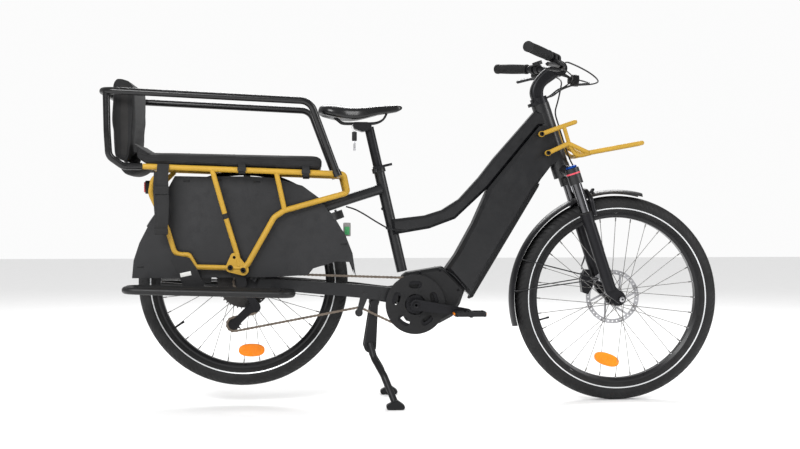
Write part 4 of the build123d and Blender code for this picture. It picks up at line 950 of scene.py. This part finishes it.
for x, z in ((-259.3, 876.2), (-238.0, 814.6)):
    for side in (-1, 1):
        bolt(bolt_group("frame"), at(x, z, side * 64), across * side, 7.5)
for x, z in ((-1222, 440), (-1262, 448)):
    for side in (-1, 1):
        bolt(bolt_group("frame"), at(x, z, side * 141), across * side, 8.5)
for x, z in ((-690, 400), (-655, 425), (-590, 432), (-530, 368), (-560, 300), (-700, 300), (-640, 262)):
    for side in (-1, 1):
        bolt(bolt_group("frame"), at(x, z, side * 40.0), across * side, 5.0)
seat_tube_back = Vector((-seat_up.z, 0, seat_up.x))
for up in (150, 214):
    place = at(-711, 428) + seat_up * (up / 1000)
    bolt(bolt_group("frame"), place + seat_tube_back * 0.0172, seat_tube_back, 5)
for x in (-1540, -1100):
    for y in (175, 260):
        for side in (-1, 1):
            bolt(bolt_group("frame"), at(x, 386 - (x + 1580) * 0.0285 + 9, side * y), upward, 5.5)
for turn in range(6):
    angle = math.radians(60 * turn)
    spot = at(front_axle[0] + 22 * math.cos(angle), front_axle[1] + 22 * math.sin(angle), 42)
    bolt(bolt_group("front_wheel"), spot, across, 4)
    spot = at(rear_axle[0] + 22 * math.cos(angle), rear_axle[1] + 22 * math.sin(angle), 57)
    bolt(bolt_group("rear_wheel"), spot, across, 4)
for side in (-1, 1):
    bolt(bolt_group("crank"), at(*bracket, side * 88), across * side, 11)
    lathe(bolt_group("steering"), at(-192.3, 1094.5, side * 23), across * side,
          [(0, 21), (4, 21), (6.5, 18.5), (7, 16.2), (7, 16.0)], 40)
for up in (-583, -640):
    bolt(bolt_group("fork_slider"), on_steer(-30, 58.5, up), across, 5)
bolt(bolt_group("fork_slider"), at(*front_axle, -90), -across, 9)
bolt(bolt_group("fork_slider"), at(-68, 402, -66), -across, 5)
for body, bm in bolts.items():
    bright = body in ("fork_slider", "front_wheel", "rear_wheel")
    piece(bm, f"{body}_bolts", body, silver if bright else dark_metal, 30)

# ---------------------------------------------------------------- lamps and reflectors
lamp_ahead = Vector((math.cos(math.radians(4)), 0, -math.sin(math.radians(4))))
lamp_face = at(-142.3, 1057.2) + lamp_ahead * 0.014
bm = bmesh.new()
lathe(bm, lamp_face, lamp_ahead, [(-1, 16.6), (0.6, 16.6), (2.0, 13.5), (2.9, 8), (3.2, 0)], 40)
for ring in (5, 9, 13):
    lathe(bm, lamp_face, lamp_ahead, [(2.2, ring - 0.8), (3.5 - ring * 0.06, ring), (2.2, ring + 0.8)], 40)
piece(bm, "headlight_lens", "steering", lamp_glass, 50)
bm = bmesh.new()
for fin in range(5):
    profile = [(along + fin * 3.4, radius) for along, radius in ((-20, 19.0), (-19.4, 19.9), (-18.4, 19.9),
                                                                 (-17.8, 19.0))]
    lathe(bm, lamp_face, lamp_ahead, profile, 40, closed=True)
lathe(bm, lamp_face, lamp_ahead, [(-1.5, 16.7), (-1.5, 19.4), (1.6, 19.4), (1.6, 16.7)], 40, closed=True)
piece(bm, "headlight_fins", "steering", cover_plastic, 40)

bm = bmesh.new()
block(bm, at(-1539.5, 702), (6, 70, 34), 2.4)
for row in range(-2, 3):
    tube(bm, [at(-1542.8, 702 + row * 6, y) for y in (-30, 0, 30)], 2.6, 1.6, 8)
piece(bm, "tail_light_lens", "frame", red_lens, 40)

for side_name, side in sides.items():
    pedal = joint_place(f"pedal_{side_name}_spin")
    bars = [(at(pedal[0] + end * 49.5, pedal[1], side * 131.5), (4, 46, 9), 1.4) for end in (-1, 1)]
    block_piece(f"pedal_reflectors_{side_name}", f"pedal_{side_name}", "lamp_lens", amber, *bars)
    studs = bmesh.new()
    for x_step in (-44, 0, 44):
        for y_step in (-34, -12, 12, 34):
            if x_step == 0 and abs(y_step) < 20:
                continue
            for top in (-1, 1):
                foot = at(pedal[0] + x_step, pedal[1] + top * 6.5, side * (131.5 + y_step))
                lathe(studs, foot, upward * top, [(0, 2.2), (1.6, 2.0), (1.9, 1.3)], 8)
    piece(studs, f"pedal_studs_{side_name}", f"pedal_{side_name}", dark_metal, 30)

# ---------------------------------------------------------------- fork trim
bm = bmesh.new()
top = on_steer(20, -72, -232)
profile = [(-2, 16.5), (0, 16.5), (1, 17.2), (7, 17.2), (8.5, 15), (8.5, 0)]
lathe(bm, top, steer_up, profile, 36)
for rib in range(24):
    angle = 2 * math.pi * rib / 24
    out = steer_ahead * math.cos(angle) + across * math.sin(angle)
    tube(bm, [top + out * 0.0172 + steer_up * 0.0015, top + out * 0.0172 + steer_up * 0.0065], 1.6, 1.6, 6)
piece(bm, "damper_cap", "steering", blue_cap, 40)
bm = bmesh.new()
lathe(bm, on_steer(20, -72, -252), steer_up, [(0, 22.8), (0, 23.4), (5, 23.4), (5, 22.8)], 40, closed=True)
piece(bm, "crown_band", "steering", red_band, 40)
bm = bmesh.new()
for side in (-1, 1):
    leg_top = on_steer(20, side * 72, -387)
    lathe(bm, leg_top, steer_up, [(0, 16.3), (0, 21.4), (3, 21), (5, 18), (6, 16.3)], 40, closed=True)
piece(bm, "wiper_seals", "fork_slider", grip_rubber, 40)
turn = Matrix((steer_ahead, across, steer_up)).transposed()
block_piece("leg_label", "fork_slider", "fork_metal", grey_label,
            (on_steer(39.6, -72, -470), (1.2, 9, 92), 0.5, turn))

# ---------------------------------------------------------------- keys and tag
bm = bmesh.new()
angles = [2 * math.pi * step / 24 for step in range(24)]
ring_path = [at(-868 + 8 * math.cos(angle), 897 + 13 * math.sin(angle), -24) for angle in angles]
tube(bm, ring_path, 1.6, segments=8, closed=True)
piece(bm, "saddle_key_ring", "seat_post", silver, 60)
block_piece("saddle_key_head", "seat_post", "control_plastic", cover_plastic,
            (at(-868, 868, -24), (16, 6, 30), 2.2))
notches = [(at(-864.6, 827 + notch * 6, -24), (3, 2.2, 2.6), 0.6) for notch in range(4)]
block_piece("saddle_key_blade", "seat_post", "spoke_steel", silver,
            (at(-868, 838, -24), (6.5, 2.2, 34), 0.8), *notches)

block_piece("lock_key_holder", "frame", "lock_case", grey_label, (at(-893, 566, -52), (24, 7, 44), 3.0))
block_piece("lock_key_label", "frame", "lock_case", green_label, (at(-893, 562, -56.2), (16, 1.4, 26), 0.6))

# ---------------------------------------------------------------- seams, ties and labels
bm = bmesh.new()
for side in (-1, 1):
    curve = [at(-497, 356, side * 41), at(-520, 388, side * 43), at(-556, 424, side * 43),
             at(-600, 441, side * 40)]
    tube(bm, smooth_path(curve, 8), 2.2, 2.2, 8)
piece(bm, "motor_seam", "frame", guard_plastic, 60)
bm = bmesh.new()
for side in (-1, 1):
    for profile in ([(0, 43), (1.2, 43), (1.2, 41.5), (0.2, 41.5)],
                    [(0, 33), (1.6, 33), (1.6, 30), (0.2, 30)]):
        lathe(bm, at(*bracket, side * 42), across * side, profile, 64, closed=True)
piece(bm, "motor_rings", "frame", dark_metal, 40)
bm = bmesh.new()
for side in (-1, 1):
    found = surface_of(nodes["carrier_brackets"]).ray_cast(at(-1400, 428, side * 400), Vector((0, -side, 0)))
    outer = found[0].y * 1000 if found[0] else side * 150
    tilt = Matrix.Rotation(math.radians(-12), 3, "Y")
    block(bm, at(-1400, 428, outer + side * 0.4), (34, 1.4, 13), 0.4, tilt)
piece(bm, "bracket_labels", "frame", white_plastic, 40)
bm = bmesh.new()
for side in (-1, 1):
    for row in range(5):
        y = side * (168 + row * 23)
        ridge = [at(x, 386 - (x + 1580) * 0.0285 + 9.4, y) for x in (-1548, -1420, -1290, -1190, -1092)]
        tube(bm, smooth_path(ridge, 3), 6, 3.0, 8)
piece(bm, "board_ridges", "frame", grip_rubber, 50)
bm = bmesh.new()
for side in (-1, 1):
    strut = at(-1240, 486, side * 132), at(-1274, 600, side * 142)
    direction = strut[1] - strut[0]
    profile = [(0, 8.1), (0, 9.4), (16, 9.4), (16, 8.1)]
    lathe(bm, strut[0] + direction * 1.02, direction, profile, 28, closed=True)
piece(bm, "strut_ties", "frame", webbing, 40)
# dark plates on the skirts where their slots are: painted shade standing in for the openings, in a plastic a
# little darker than the skirt's
slot_shade_places = ((-1480, 640), (-1400, 720), (-1300, 722), (-1180, 718), (-1000, 655), (-905, 520), (-1545, 450))
block_piece("skirt_slot_shade_plates", "frame", "skirt_plastic", cover_plastic,
            *[(at(x, z, side * 109.6), (20, 2.4, 5.5), 0.7) for x, z in slot_shade_places for side in (-1, 1)])

# ---------------------------------------------------------------- floor, light and camera
floor_mesh = bpy.data.meshes.new("floor")
reach = 12.0
floor_mesh.from_pydata([(-reach, -reach, 0), (reach, -reach, 0), (reach, reach, 0), (-reach, reach, 0)], [],
                       [(0, 1, 2, 3)])
floor = bpy.data.objects.new("floor", floor_mesh)
link(floor)
floor_paint = finished("floor_paint", (0.86, 0.86, 0.86), 0.6, spread=0.01)
floor_mesh.materials.append(floor_paint)

world = bpy.data.worlds.new("studio")
bpy.context.scene.world = world
bpy.context.scene.view_settings.view_transform = "Standard"
world.use_nodes = True
backdrop = world.node_tree.nodes["Background"]
backdrop.inputs["Color"].default_value = (1.0, 1.0, 1.0, 1)
seen = world.node_tree.nodes.new("ShaderNodeLightPath")
strength = world.node_tree.nodes.new("ShaderNodeMapRange")
strength.inputs["To Min"].default_value = 0.97
strength.inputs["To Max"].default_value = 0.4
world.node_tree.links.new(seen.outputs["Is Glossy Ray"], strength.inputs["Value"])
world.node_tree.links.new(strength.outputs["Result"], backdrop.inputs["Strength"])


def softbox(name, place, target, size, power):
    lamp = bpy.data.lights.new(name, "AREA")
    lamp.shape = "RECTANGLE"
    lamp.size, lamp.size_y = size
    lamp.energy = power
    made = bpy.data.objects.new(name, lamp)
    made.location = place
    made.rotation_euler = (Vector(target) - Vector(place)).to_track_quat("-Z", "Y").to_euler()
    link(made)


softbox("key_light", (-2.0, -3.2, 2.6), (0, 0, 0.5), (2.6, 1.2), 130)
softbox("side_light", (3.2, -1.6, 2.2), (0, 0, 0.6), (1.0, 2.0), 55)
softbox("back_light", (0.2, 3.0, 3.2), (0, 0, 0.6), (3.2, 1.2), 110)

lens = bpy.data.cameras.new("camera")
lens.lens = 56.25
lens.sensor_width = 36.0
camera = bpy.data.objects.new("camera", lens)
camera.location = at(-1013, 632, -4090)
camera.rotation_euler = (math.radians(90 - 0.71), 0, math.radians(-4.13))
link(camera)
bpy.context.scene.camera = camera
